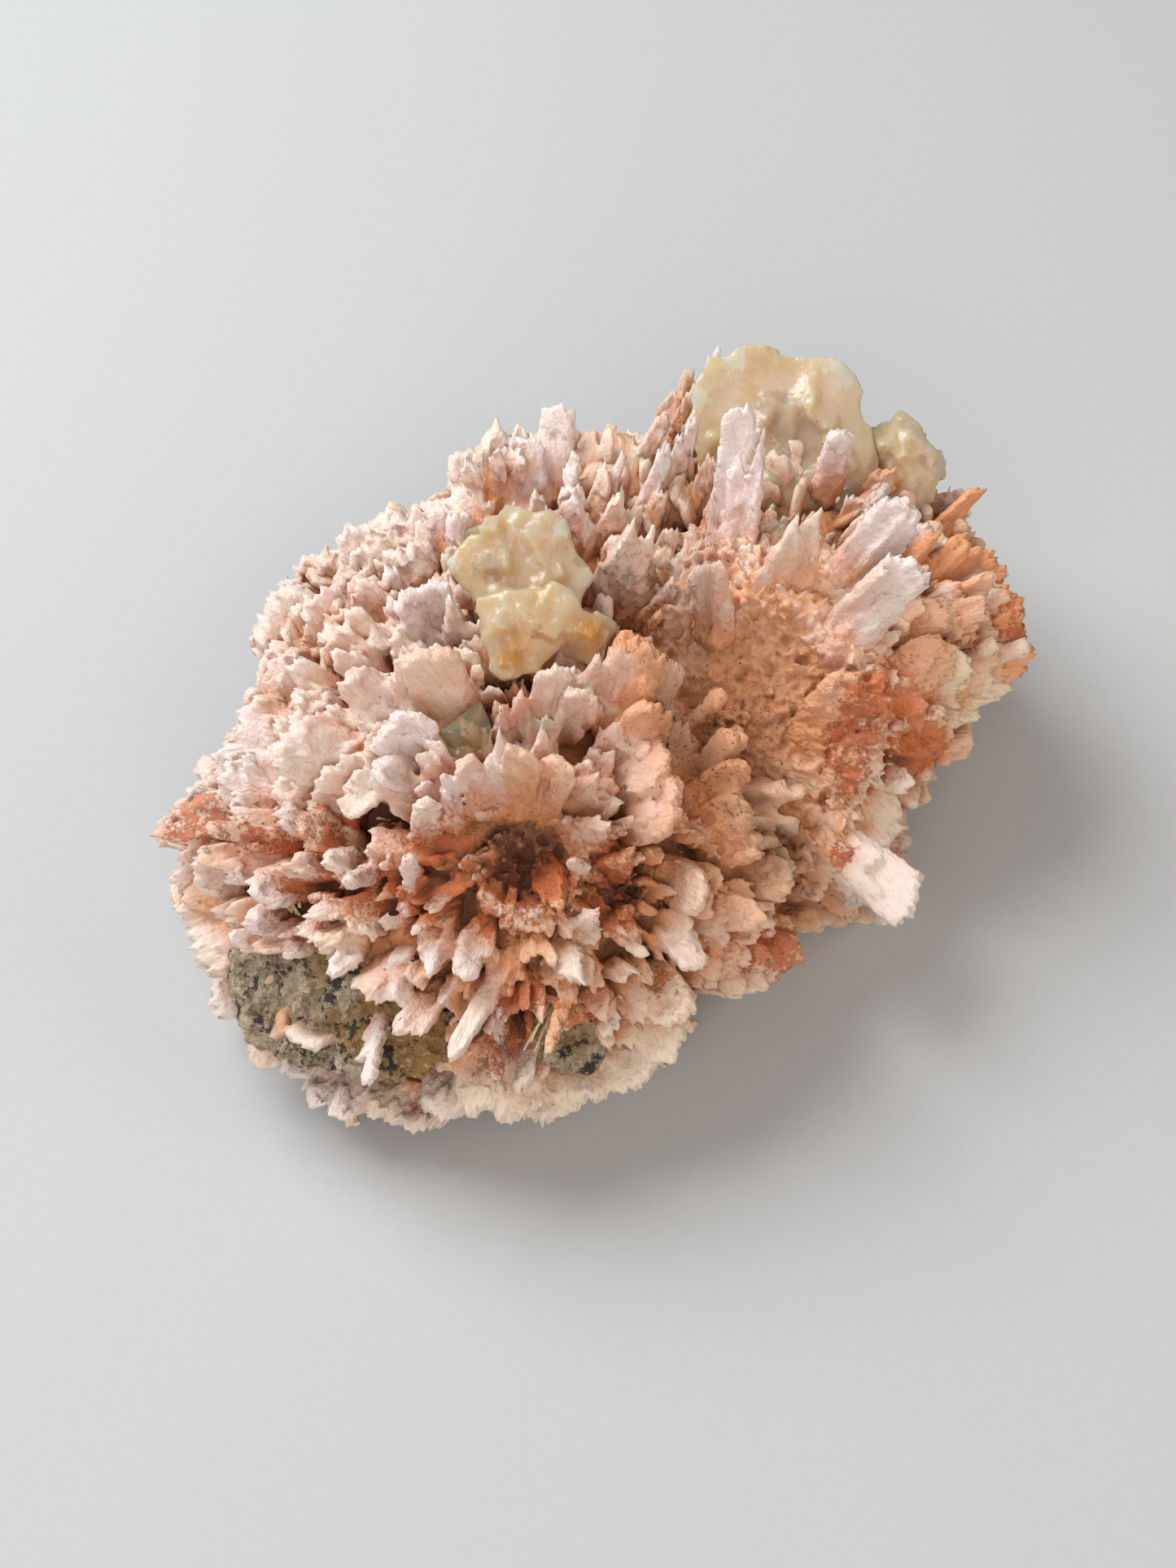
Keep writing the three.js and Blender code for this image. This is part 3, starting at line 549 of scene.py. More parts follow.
# The needles' thickness at the root and at the tip, and their tufts: across, up, lean across,
# lean up, how many, length.
NEEDLE_RADII = (0.22, 0.08)
NEEDLE_TUFTS = [(-36.5, -15.5, -0.3, 0.8, 9, 4), (-4, -27, -0.4, -0.8, 8, 8)]


# Where things are seen


def seen(across, up, depth):
    """Points that the viewer sees so far across and up, at a depth towards the viewer."""
    across, up, depth = (np.asarray(v, dtype=float) for v in (across, up, depth))
    shrink = 1 - depth / VIEW_DISTANCE
    return np.stack(
        [
            across * shrink,
            up * shrink * LOOK_UP - depth * LOOK_FLAT,
            MIDDLE_HEIGHT + up * shrink * LOOK_FLAT + depth * LOOK_UP,
        ],
        axis=-1,
    )


def picture_of(points):
    """Where the viewer sees each point: across and up."""
    from_middle = points - MIDDLE
    grow = 1 / (1 - from_middle @ TO_VIEWER / VIEW_DISTANCE)
    return from_middle[:, 0] * grow, from_middle @ VIEW_UP * grow


def body_depth(across, up):
    """Depth at which each line of sight meets the body, or passes nearest to it."""
    across, up = np.atleast_1d(np.asarray(across, float)), np.atleast_1d(np.asarray(up, float))
    start = seen(across, up, np.zeros_like(across))
    step = seen(across, up, np.ones_like(across)) - start
    hit_depth = np.full(across.shape, -np.inf)
    near_depth = np.zeros(across.shape)
    near_miss = np.full(across.shape, np.inf)
    for centre, radii in LOBES:
        origin = (start - np.array(centre)) / np.array(radii)
        along = step / np.array(radii)
        a = (along * along).sum(1)
        b = (origin * along).sum(1)
        miss = a * ((origin * origin).sum(1) - 1) - b * b
        depth = (-b + np.sqrt(np.maximum(-miss, 0))) / a
        hit_depth = np.where(miss < 0, np.maximum(hit_depth, depth), hit_depth)
        nearer = miss < near_miss
        near_depth = np.where(nearer, depth, near_depth)
        near_miss = np.where(nearer, miss, near_miss)
    return np.where(np.isfinite(hit_depth), hit_depth, near_depth)


def hollow_depth(across, up):
    """How far the hollows go down below the body's surface."""
    deepest = np.zeros(np.shape(across))
    for x, y, radius, depth in HOLLOWS:
        share = 1 - ((across - x) ** 2 + (up - y) ** 2) / radius**2
        deepest = np.maximum(deepest, depth * np.clip(share, 0, 1) ** 0.7)
    return deepest


def height_over_body(points):
    """How far each point stands towards the viewer from the body's surface."""
    across, up = picture_of(points)
    return (points - MIDDLE) @ TO_VIEWER - body_depth(across, up)


def hollowed(points, extra=0.0):
    """Points of the body moved down where the hollows are."""
    across, up = picture_of(points)
    near = np.clip(1 + height_over_body(points) / 8, 0, 1)
    return points - ((hollow_depth(across, up) + extra) * near)[:, None] * TO_VIEWER


def inside(outline, across, up):
    """Which points lie inside an outline that the viewer sees."""
    found = np.zeros(np.shape(across), dtype=bool)
    for (x0, y0), (x1, y1) in zip(outline, outline[1:] + outline[:1]):
        crosses = (y0 > up) != (y1 > up)
        if y0 != y1:
            found ^= crosses & (across < (x1 - x0) * (up - y0) / (y1 - y0) + x0)
    return found


def shrunk(outline, share):
    """An outline drawn in towards its middle."""
    middle = np.mean(outline, axis=0)
    return [tuple(middle + share * (np.array(point) - middle)) for point in outline]


def patch_weight(patches, across, up):
    """How strongly a list of round patches covers each point."""
    clear = np.ones(np.shape(across))
    for x, y, radius, strength in patches:
        share = ((across - x) ** 2 + (up - y) ** 2) / radius**2
        clear *= 1 - strength * np.exp(-PATCH_FALL * share)
    return 1 - clear


def neighbourhood(across, up):
    """The settings of the small plates at each point, blended from their neighbourhoods."""
    table = np.array(NEIGHBOURHOODS)
    apart = (across[:, None] - table[:, 0]) ** 2 + (up[:, None] - table[:, 1]) ** 2
    share = np.exp(-apart / (0.5 * table[:, 2] ** 2))
    share = share / np.maximum(share.sum(1, keepdims=True), 1e-12)
    return share @ table[:, 3:]


def unit(vectors):
    """The same directions with length 1."""
    return vectors / np.maximum(np.linalg.norm(vectors, axis=-1, keepdims=True), 1e-9)


def spray_growth(across, up, towards):
    """Directions in which crystals grow, away from their spray and towards the viewer."""
    right = across > np.interp(up, DIVIDE_UP, DIVIDE_ACROSS)
    from_x = np.where(right, RIGHT_SPRAY[0], LEFT_SPRAY[0])
    from_y = np.where(right, RIGHT_SPRAY[1], LEFT_SPRAY[1])
    flat = unit(np.stack([across - from_x, up - from_y], axis=-1))
    out = flat[:, :1] * VIEW_RIGHT + flat[:, 1:] * VIEW_UP
    return unit(out + np.asarray(towards)[:, None] * TO_VIEWER)


LATTICE_SIZE = 64
LATTICE = np.random.default_rng(90).random((LATTICE_SIZE,) * 3)


def blended(base, part, value_at):
    """A value between the eight corners of a cell, from the values at the corners."""
    total = np.zeros(len(base))
    for corner in range(8):
        step = np.array([corner & 1, corner >> 1 & 1, corner >> 2 & 1])
        share = np.prod(np.where(step, part, 1 - part), axis=1)
        total += share * value_at(base + step)
    return total


def lattice_noise(points):
    """Smooth uneven values from 0 to 1, in blobs about one unit wide."""
    base = np.floor(points).astype(int)
    part = points - base
    part = part * part * (3 - 2 * part)
    return blended(base, part, lambda place: LATTICE[tuple((place % LATTICE_SIZE).T)])


def fibres(points):
    """Which way the fibres run at each point, and how far it is from the middle of the spray."""
    across, up = picture_of(points)
    right = (across - np.interp(up, DIVIDE_UP, DIVIDE_ACROSS)) / DIVIDE_WIDTH + 0.5
    right = np.clip(right, 0, 1)[:, None]
    middles = [seen(*spray, body_depth(*spray)[0] - SPRAY_DEPTH) for spray in (LEFT_SPRAY, RIGHT_SPRAY)]
    out = points - (right * middles[1] + (1 - right) * middles[0])
    reach = np.linalg.norm(out, axis=1, keepdims=True)
    return out / reach, reach


def fibre_value(along, reach, width):
    """Uneven heights of the fibres, from 0 to 1: fibres of about the same width near and far."""
    near = lattice_noise((NEAR_FIBRES * along + FIBRE_RUN * reach) / width)
    far = lattice_noise((FAR_FIBRES * along + FIBRE_RUN * reach) / width + 31)
    return near + np.clip((reach[:, 0] - 20) / 16, 0, 1) * (far - near)


def raked(mesh, width, teeth, ridges):
    """Draw a mesh out along its fibres, into ragged ends and fine ridges."""
    points = mesh_points(mesh)
    normals = numbers_of(mesh.vertex_normals, "vector", 3)
    along, reach = fibres(points)
    tooth = 0.6 * fibre_value(along, reach, width) + 0.4 * fibre_value(along, reach, 0.5 * width) - 0.5
    ridge = fibre_value(along, reach, 0.8 * width) - 0.5
    side = 1 - np.clip((normals * along).sum(1), 0, 1)
    rough = 2 - 1.6 * patch_weight(CALM_PATCHES, *picture_of(points))
    drawn = (rough * teeth * tooth)[:, None] * along
    raised = (rough * ridges * ridge * side)[:, None] * normals
    set_points(mesh, points + drawn + raised)


# Crystal shapes, blades of two sizes with grains, lumps and spikes, that are copied all over the specimen


def mesh_of(bm, name):
    """The mesh of a form that has been built."""
    mesh = bpy.data.meshes.new(name)
    bm.to_mesh(mesh)
    bm.free()
    return mesh


def half_width(outline, y):
    """Half the width of a blade outline at a share y of its length."""
    if outline == "blunt":
        return 0.50 - 0.06 * y
    if outline == "fan":
        return 0.30 + 0.20 * min(1, y / 0.8)
    if outline == "point":
        return 0.42 + 0.08 * min(1, y / 0.4) if y < 0.5 else 0.5 * max(0.0, 1 - (y - 0.5) / 0.5) ** 0.8
    if outline == "petal":
        if y < 0.72:
            return 0.28 + 0.22 * math.sin(math.pi * 0.5 * min(1, y / 0.55))
        return 0.5 * math.sqrt(max(0.0, 1 - ((y - 0.72) / 0.3) ** 2))
    return 0.46 - 0.14 * y


def saw_outline(outline, teeth, bite, rng):
    """Points round a blade whose edges are cut in uneven teeth that lean to its tip."""
    top = {"blunt": 0.95, "point": 0.97, "petal": 0.93, "lath": 0.95, "fan": 0.88}[outline]
    nick = {"blunt": 0.25, "point": 0.2, "petal": 0.35, "lath": 0.3, "fan": 0.9}[outline] / teeth
    sides = []
    for side in (1, -1):
        cuts = np.cumsum(rng.uniform(0.4, 1.6, teeth))
        cuts = np.concatenate([[0], cuts / cuts[-1]]) * top
        wave = np.linspace(0, rng.uniform(3, 9), teeth) + rng.uniform(0, 6)
        wander = 0.035 * np.sin(wave) + rng.normal(0, 0.012, teeth)
        points = []
        for low, high, shift in zip(cuts, cuts[1:], wander):
            lean = rng.uniform(0.3, 1.4) * (1.3 - 0.9 * low)
            cut = half_width(outline, low) - bite * lean
            tip = half_width(outline, high) + 0.4 * bite * rng.random()
            points.append((side * (cut + shift), low + 0.01))
            points.append((side * (tip + shift), high - 0.01))
        sides.append(points)
    edge = half_width(outline, top)
    crown = []
    steps = 2 * max(1, teeth // 3) + 1 + 4 * (outline == "fan")
    slant = rng.uniform(-0.035, 0.035)
    for i in range(steps):
        share = 1 - 2 * (i + rng.uniform(0.3, 0.7)) / steps
        dome = 0.06 * (1 - share * share)
        high = rng.uniform(0.4, 1.0) if i % 2 else -rng.uniform(0.4, 1.0)
        crown.append((edge * share, top + dome + slant * share + nick * high))
    return sides[0] + crown + sides[1][::-1]


def blade_shape(name, outline, teeth, bite, seed):
    """A saw-edged slab with blunt edges and uneven faces, as a mesh."""
    rng = np.random.default_rng(seed)
    bm = bmesh.new()
    face = bm.faces.new([bm.verts.new((x, y, 0.22)) for x, y in saw_outline(outline, teeth, bite, rng)])
    bmesh.ops.inset_individual(bm, faces=[face], thickness=0.0005)
    inner = list(face.verts)
    bmesh.ops.scale(bm, vec=(0.86, 0.965, 1), verts=inner)
    bmesh.ops.translate(bm, vec=(0, 0.012, 0.26), verts=inner)
    for vert in inner:
        vert.co.z += rng.uniform(-0.1, 0.08)
    for vert in bm.verts:
        vert.co.z += 0.1 * math.sin(5.0 * vert.co.x + 3.0 * vert.co.y + seed)
    half = bm.verts[:] + bm.edges[:] + bm.faces[:]
    bmesh.ops.mirror(bm, geom=half, matrix=Matrix.Identity(4), merge_dist=-1, axis="Z")
    rims = [edge for edge in bm.edges if edge.is_boundary]
    bmesh.ops.bridge_loops(bm, edges=rims)
    bmesh.ops.recalc_face_normals(bm, faces=bm.faces[:])
    return mesh_of(bm, name)


def grain_shape(name, seed):
    """A small stubby crystal with uneven corners."""
    rng = np.random.default_rng(seed)
    bm = bmesh.new()
    bmesh.ops.create_cube(bm, size=1, matrix=Matrix.Translation((0, 0.5, 0)))
    top = [face for face in bm.faces if face.normal.y > 0.5]
    bmesh.ops.poke(bm, faces=top, offset=0.25)
    for vert in bm.verts:
        vert.co.x *= rng.uniform(0.6, 1.1)
        vert.co.z *= rng.uniform(0.6, 1.1)
        vert.co.y *= rng.uniform(0.8, 1.05)
    return mesh_of(bm, name)


def lump_shape(name, fineness):
    """A rounded lump from which a blade grows, or a lobe of the body."""
    bm = bmesh.new()
    middle = Matrix.Translation((0, 0.5, 0))
    bmesh.ops.create_icosphere(bm, subdivisions=fineness, radius=0.5, matrix=middle)
    return mesh_of(bm, name)


def spike_shape(name):
    """A tiny three-sided spike."""
    bm = bmesh.new()
    turn = Matrix.Translation((0, 0.5, 0)) @ Matrix.Rotation(-math.pi / 2, 4, "X")
    bmesh.ops.create_cone(bm, cap_ends=True, segments=3, radius1=0.5, radius2=0.0, depth=1.0, matrix=turn)
    return mesh_of(bm, name)


class ShapeArrays:
    """The corners and faces of one crystal shape, ready to be copied many times."""

    def __init__(self, mesh):
        self.points = numbers_of(mesh.vertices, "co", 3)
        self.sizes = np.array([len(face.vertices) for face in mesh.polygons])
        self.corners = np.concatenate([list(face.vertices) for face in mesh.polygons])
        bpy.data.meshes.remove(mesh)


class Growth:
    """A growing list of crystals: where each one is, how big, which way and how coloured."""

    def __init__(self, seed):
        self.rng = np.random.default_rng(seed)
        self.shape, self.root, self.along, self.face = [], [], [], []
        self.size, self.bend, self.finish = [], [], []

    def add(self, shape, root, along, face, size, bend=0.0, finish=(0, 0, 0, 0.5)):
        """Add one crystal; size is width, length and thickness."""
        self.shape.append(shape)
        self.root.append(root)
        self.along.append(along)
        self.face.append(face)
        self.size.append(size)
        self.bend.append(bend)
        self.finish.append(finish)

    def frames(self):
        """Where each crystal starts and the three ways that it points."""
        root, along, face = np.array(self.root), unit(np.array(self.along)), np.array(self.face)
        face = unit(face - (face * along).sum(1, keepdims=True) * along)
        return root, along, face, np.cross(along, face)

    def placed(self):
        """All the crystals joined: points, corners, face sizes, and each point's own crystal."""
        shapes = [SHAPES[key] for key in sorted(SHAPES)]
        root, along, face, across = self.frames()
        size, bend, kinds = np.array(self.size), np.array(self.bend), np.array(self.shape)
        points, corners, sizes, owners, starts = [], [], [], [], 0
        for kind in np.unique(kinds):
            shape = shapes[kind]
            which = np.nonzero(kinds == kind)[0]
            local = shape.points[None] * size[which][:, None]
            curl = bend[which][:, None] * local[..., 1] ** 2
            place = (
                root[which][:, None]
                + local[..., 0:1] * across[which][:, None]
                + local[..., 1:2] * along[which][:, None]
                + (local[..., 2] + curl)[..., None] * face[which][:, None]
            )
            count = len(shape.points)
            offsets = starts + np.arange(len(which))[:, None] * count
            corners.append((shape.corners[None] + offsets).ravel())
            sizes.append(np.tile(shape.sizes, len(which)))
            points.append(place.reshape(-1, 3))
            owners.append(np.repeat(which, count))
            starts += count * len(which)
        return tuple(np.concatenate(part) for part in (points, corners, sizes, owners))

    def melted_mesh(self, name, voxel, relief, teeth, most_faces):
        """One mesh of all the crystals grown together, with soft edges and filled corners."""
        points, corners, sizes, owners = self.placed()
        core = np.array(self.shape)[owners] == shape_number("core", 0, 0)
        points[core] = hollowed(points[core], 0.5)
        source = plain_mesh(name + "_parts", points, corners, sizes)
        mesh = modified(source, melting(voxel, 0.3, 1), relief)
        raked(mesh, 2.4 * voxel, teeth, 0.4 * voxel)
        share = most_faces / max(1, 2 * len(mesh.polygons))
        if share < 1:
            mesh = modified(mesh, [("DECIMATE", {"ratio": share})])
        points = mesh_points(mesh)
        set_points(mesh, points)
        owners, along = self.nearest(points)
        tint = self.rng.random(len(self.size))[owners]
        store_fibres(mesh, points, along, tint)
        store_colours(mesh, "weather", weather_of(points, np.array(self.finish)[owners]))
        mesh.shade_smooth()
        return mesh

    def nearest(self, points):
        """The crystal that each point lies on, and how far along it the point is."""
        root, along, face, across = self.frames()
        size = np.array(self.size)
        core, lump, spike = (shape_number(kind, 0, 0) for kind in ("core", "lump", "spike"))
        count = len(points)
        best, owner, places = np.full(count, STRAY), np.zeros(count, dtype=int), np.full(count, 0.3)
        for i in range(len(root)):
            if self.shape[i] in (core, spike):
                continue
            wide, long, thick = size[i]
            middle = root[i] + along[i] * long / 2
            reach = 0.5 * math.sqrt(wide * wide + long * long + thick * thick) + STRAY + 0.1
            near = np.nonzero(np.abs(points - middle).max(1) < reach)[0]
            offset = points[near] - root[i]
            local = np.column_stack([offset @ across[i], offset @ along[i], offset @ face[i]])
            far = np.maximum(np.abs(local[:, 0]) - wide / 2, np.abs(local[:, 1] - long / 2) - long / 2)
            far = np.maximum(far, np.abs(local[:, 2]) - thick / 2)
            if self.shape[i] == lump:
                ball = np.linalg.norm((local - [0, long / 2, 0]) / (0.5 * size[i]), axis=1)
                far = (ball - 1) * 0.5 * min(wide, thick)
                local[:, 1] *= 0.35
            nearer = far < best[near]
            hit = near[nearer]
            best[hit], owner[hit] = far[nearer], i
            places[hit] = local[nearer, 1] / long
        return owner, np.clip(places, 0, 1)


def store_fibres(mesh, points, along, tint):
    """Store each point's place on its crystal and its tint, and how the fibres run there."""
    way, reach = fibres(points)
    store_colours(mesh, "growth", np.column_stack([along, tint, tint, fibre_value(way, reach, 0.8)]))
    layer = mesh.attributes.new("fibres", "FLOAT_VECTOR", "POINT")
    layer.data.foreach_set("vector", (COLOUR_FIBRES * way + FIBRE_RUN * reach).ravel())


def weather_of(points, own):
    """Rust, cream and dirt at each point, from the patches and from each crystal's own finish."""
    across, up = picture_of(points)
    front = np.clip(0.65 + 0.02 * (points @ TO_VIEWER), 0.3, 1)
    low_down = np.clip((13 - height_over_body(points)) / 9, 0.5, 1)
    rust = 1 - (1 - own[:, 0]) * (1 - patch_weight(RUST_PATCHES, across, up) * front * low_down)
    cream = 1 - (1 - own[:, 1]) * (1 - patch_weight(CREAM_PATCHES, across, up) * front)
    dirt = 1 - (1 - own[:, 2]) * (1 - patch_weight(DIRT_PATCHES, across, up) * front)
    hue = own[:, 3] * (1 - 0.8 * patch_weight(WARM_PATCHES, across, up))
    hue = hue + 0.4 * (1 - hue) * patch_weight(COOL_PATCHES, across, up)
    return np.column_stack([rust, cream, dirt, hue])


def plain_mesh(name, points, corners, sizes):
    """A mesh in metres that stays above the floor."""
    points = points.copy()
    points[:, 2] = np.maximum(points[:, 2], 0)
    mesh = bpy.data.meshes.new(name)
    mesh.vertices.add(len(points))
    mesh.vertices.foreach_set("co", (points * MM).ravel())
    mesh.loops.add(len(corners))
    mesh.loops.foreach_set("vertex_index", corners)
    mesh.polygons.add(len(sizes))
    mesh.polygons.foreach_set("loop_start", np.concatenate([[0], np.cumsum(sizes)[:-1]]))
    mesh.update(calc_edges=True)
    mesh.validate()
    return mesh


def store_colours(mesh, name, values):
    """Store four values for each point under a name that the materials read."""
    layer = mesh.color_attributes.new(name, "FLOAT_COLOR", "POINT")
    layer.data.foreach_set("color", np.asarray(values, dtype=float).ravel())


def melting(voxel, smoothness=0.5, rounds=0):
    """The steps that melt parts together in a grid of voxels, and then smooth them."""
    return [
        ("REMESH", {"mode": "VOXEL", "voxel_size": voxel * MM}),
        ("SMOOTH", {"factor": smoothness, "iterations": rounds}),
    ]


def modified(mesh, steps, relief=()):
    """A mesh put through some modifiers and then some layers of relief."""
    holder = bpy.data.objects.new(mesh.name, mesh)
    bpy.context.scene.collection.objects.link(holder)
    for kind, settings in steps:
        modifier = holder.modifiers.new(kind.lower(), kind)
        for name, value in settings.items():
            setattr(modifier, name, value)
    for number, (kind, size, strength) in enumerate(relief):
        texture = bpy.data.textures.new(f"{mesh.name}_{number}", kind)
        texture.noise_scale = size * MM
        if kind == "CLOUDS":
            texture.noise_depth = 3
        layer = holder.modifiers.new(f"relief_{number}", "DISPLACE")
        layer.texture = texture
        layer.texture_coords = "LOCAL"
        layer.strength = strength * MM
        layer.mid_level = 0.5
    graph = bpy.context.evaluated_depsgraph_get()
    done = bpy.data.meshes.new_from_object(holder.evaluated_get(graph), depsgraph=graph)
    bpy.data.objects.remove(holder)
    bpy.data.meshes.remove(mesh)
    return done


SHAPES = {}
OUTLINE_NAMES = ("blunt", "point", "petal", "lath", "fan")
KINDS = 6
TEETH = {"large": 15, "middle": 6}
BITES = {"large": 1.0, "middle": 1.7}


def make_shapes(props):
    """Make every crystal shape once."""
    for row, size in enumerate(TEETH):
        bite = BITES[size] * props.tooth_depth
        for number, outline in enumerate(OUTLINE_NAMES):
            for kind in range(KINDS):
                seed = 100 * row + 10 * number + kind
                mesh = blade_shape(f"{size}_{outline}", outline, TEETH[size], bite, seed)
                SHAPES[(size, number, kind)] = ShapeArrays(mesh)
    for kind in range(KINDS):
        SHAPES[("grain", 0, kind)] = ShapeArrays(grain_shape("grain", 400 + kind))
    SHAPES[("lump", 0, 0)] = ShapeArrays(lump_shape("lump", 1))
    SHAPES[("core", 0, 0)] = ShapeArrays(lump_shape("core", 5))
    SHAPES[("spike", 0, 0)] = ShapeArrays(spike_shape("spike"))


def shape_number(size, outline, kind):
    """The number of a shape in the sorted list."""
    return sorted(SHAPES).index((size, outline, kind))


def turned(face, along, angle):
    """A facing turned about the length of its crystal."""
    along = along / np.linalg.norm(along)
    face = face - (face @ along) * along
    face = face / np.linalg.norm(face)
    return face * math.cos(angle) + np.cross(along, face) * math.sin(angle)


# Materials


def new_material(name):
    """A material with its node tree and its shader."""
    material = bpy.data.materials.new(name)
    material.use_nodes = True
    tree = material.node_tree
    return material, tree, tree.nodes["Principled BSDF"]


def group_tree(name, inputs, outputs):
    """A shader node group with named sockets."""
    tree = bpy.data.node_groups.new(name, "ShaderNodeTree")
    for label, kind, default in inputs:
        socket = tree.interface.new_socket(name=label, in_out="INPUT", socket_type=kind)
        if default is not None:
            socket.default_value = default
    for label, kind in outputs:
        tree.interface.new_socket(name=label, in_out="OUTPUT", socket_type=kind)
    return tree, tree.nodes.new("NodeGroupInput"), tree.nodes.new("NodeGroupOutput")


def noise(tree, vector, scale, detail, rough):
    """A noise node of a given scale, in blobs a metre, with its values and colours."""
    node = tree.nodes.new("ShaderNodeTexNoise")
    node.inputs["Scale"].default_value = scale
    node.inputs["Detail"].default_value = detail
    node.inputs["Roughness"].default_value = rough
    tree.links.new(vector, node.inputs["Vector"])
    return node.outputs["Fac"], node.outputs["Color"]


def ramp(tree, value, low, high, start=0.0, end=1.0):
    """A value stretched from one range to another, and held at its ends."""
    node = tree.nodes.new("ShaderNodeMapRange")
    node.inputs["From Min"].default_value = low
    node.inputs["From Max"].default_value = high
    node.inputs["To Min"].default_value = start
    node.inputs["To Max"].default_value = end
    tree.links.new(value, node.inputs["Value"])
    return node.outputs["Result"]


def reckoned(tree, operation, first, second):
    """A math node between two values or sockets."""
    node = tree.nodes.new("ShaderNodeMath")
    node.operation = operation
    for socket, value in zip(node.inputs, (first, second)):
        if isinstance(value, (int, float)):
            socket.default_value = value
        else:
            tree.links.new(value, socket)
    return node.outputs[0]


def plus(tree, first, second):
    """The sum of two values or sockets."""
    return reckoned(tree, "ADD", first, second)


def times(tree, first, second):
    """The product of two values or sockets."""
    return reckoned(tree, "MULTIPLY", first, second)


def mix(tree, factor, first, second):
    """A colour mix between two colours or sockets."""
    node = tree.nodes.new("ShaderNodeMix")
    node.data_type = "RGBA"
    for socket, value in ((node.inputs[0], factor), (node.inputs[6], first), (node.inputs[7], second)):
        if isinstance(value, bpy.types.NodeSocket):
            tree.links.new(value, socket)
        elif isinstance(value, (int, float)):
            socket.default_value = value
        else:
            socket.default_value = (*value[:3], 1)
    return node.outputs[2]


def object_place(tree):
    """Where each point is on its piece."""
    return tree.nodes.new("ShaderNodeTexCoord").outputs["Object"]


def stored(tree, name):
    """The four values that are stored for each point under a name."""
    node = tree.nodes.new("ShaderNodeAttribute")
    node.attribute_name = name
    parts = tree.nodes.new("ShaderNodeSeparateColor")
    tree.links.new(node.outputs["Color"], parts.inputs["Color"])
    return *parts.outputs, node.outputs["Alpha"]


def bumped(tree, shader, height, strength, distance):
    """Fine relief on a shader's surface, from a height."""
    node = tree.nodes.new("ShaderNodeBump")
    node.inputs["Strength"].default_value = strength
    node.inputs["Distance"].default_value = distance
    tree.links.new(height, node.inputs["Height"])
    tree.links.new(node.outputs["Normal"], shader.inputs["Normal"])


def soaked(tree, colour, density):
    """The inside of a clear crystal takes up light."""
    node = tree.nodes.new("ShaderNodeVolumeAbsorption")
    node.inputs["Color"].default_value = (*colour[:3], 1)
    node.inputs["Density"].default_value = density
    tree.links.new(node.outputs["Volume"], tree.nodes["Material Output"].inputs["Volume"])


def dusted_group():
    """Rust dust and dark specks that gather where a surface is weathered."""
    if "Dust and specks" in bpy.data.node_groups:
        return bpy.data.node_groups["Dust and specks"]
    tree, enter, leave = group_tree(
        "Dust and specks",
        [("Vector", "NodeSocketVector", None), ("Amount", "NodeSocketFloat", 0.5)],
        [("Dust", "NodeSocketFloat"), ("Specks", "NodeSocketFloat")],
    )
    coarse, _ = noise(tree, enter.outputs["Vector"], 380, 5, 0.7)
    fine, _ = noise(tree, enter.outputs["Vector"], 1900, 2, 0.6)
    amount = enter.outputs["Amount"]
    raised = plus(tree, plus(tree, coarse, times(tree, fine, 0.5)), times(tree, amount, 0.62))
    crumbs = plus(tree, fine, times(tree, amount, 0.13))
    tree.links.new(ramp(tree, raised, 1.04, 1.16), leave.inputs["Dust"])
    tree.links.new(ramp(tree, crumbs, 0.75, 0.78), leave.inputs["Specks"])
    return tree


def grain_group():
    """Fine relief along the growth of a blade, for colour and for bump."""
    if "Growth lines" in bpy.data.node_groups:
        return bpy.data.node_groups["Growth lines"]
    tree, enter, leave = group_tree(
        "Growth lines",
        [("Fibres", "NodeSocketVector", None), ("Vector", "NodeSocketVector", None)],
        [("Lines", "NodeSocketFloat"), ("Height", "NodeSocketFloat")],
    )
    lines, _ = noise(tree, enter.outputs["Fibres"], 1.6, 4, 0.6)
    pits, _ = noise(tree, enter.outputs["Vector"], 1400, 3, 0.6)
    soft, _ = noise(tree, enter.outputs["Vector"], 330, 2, 0.5)
    height = plus(tree, times(tree, lines, 0.9), times(tree, pits, 0.6))
    tree.links.new(lines, leave.inputs["Lines"])
    tree.links.new(plus(tree, height, times(tree, soft, 0.8)), leave.inputs["Height"])
    return tree


def grouped(tree, group, **sources):
    """A node that uses a group, with its inputs joined by name."""
    node = tree.nodes.new("ShaderNodeGroup")
    node.node_tree = group
    for name, source in sources.items():
        tree.links.new(source, node.inputs[name])
    return node.outputs


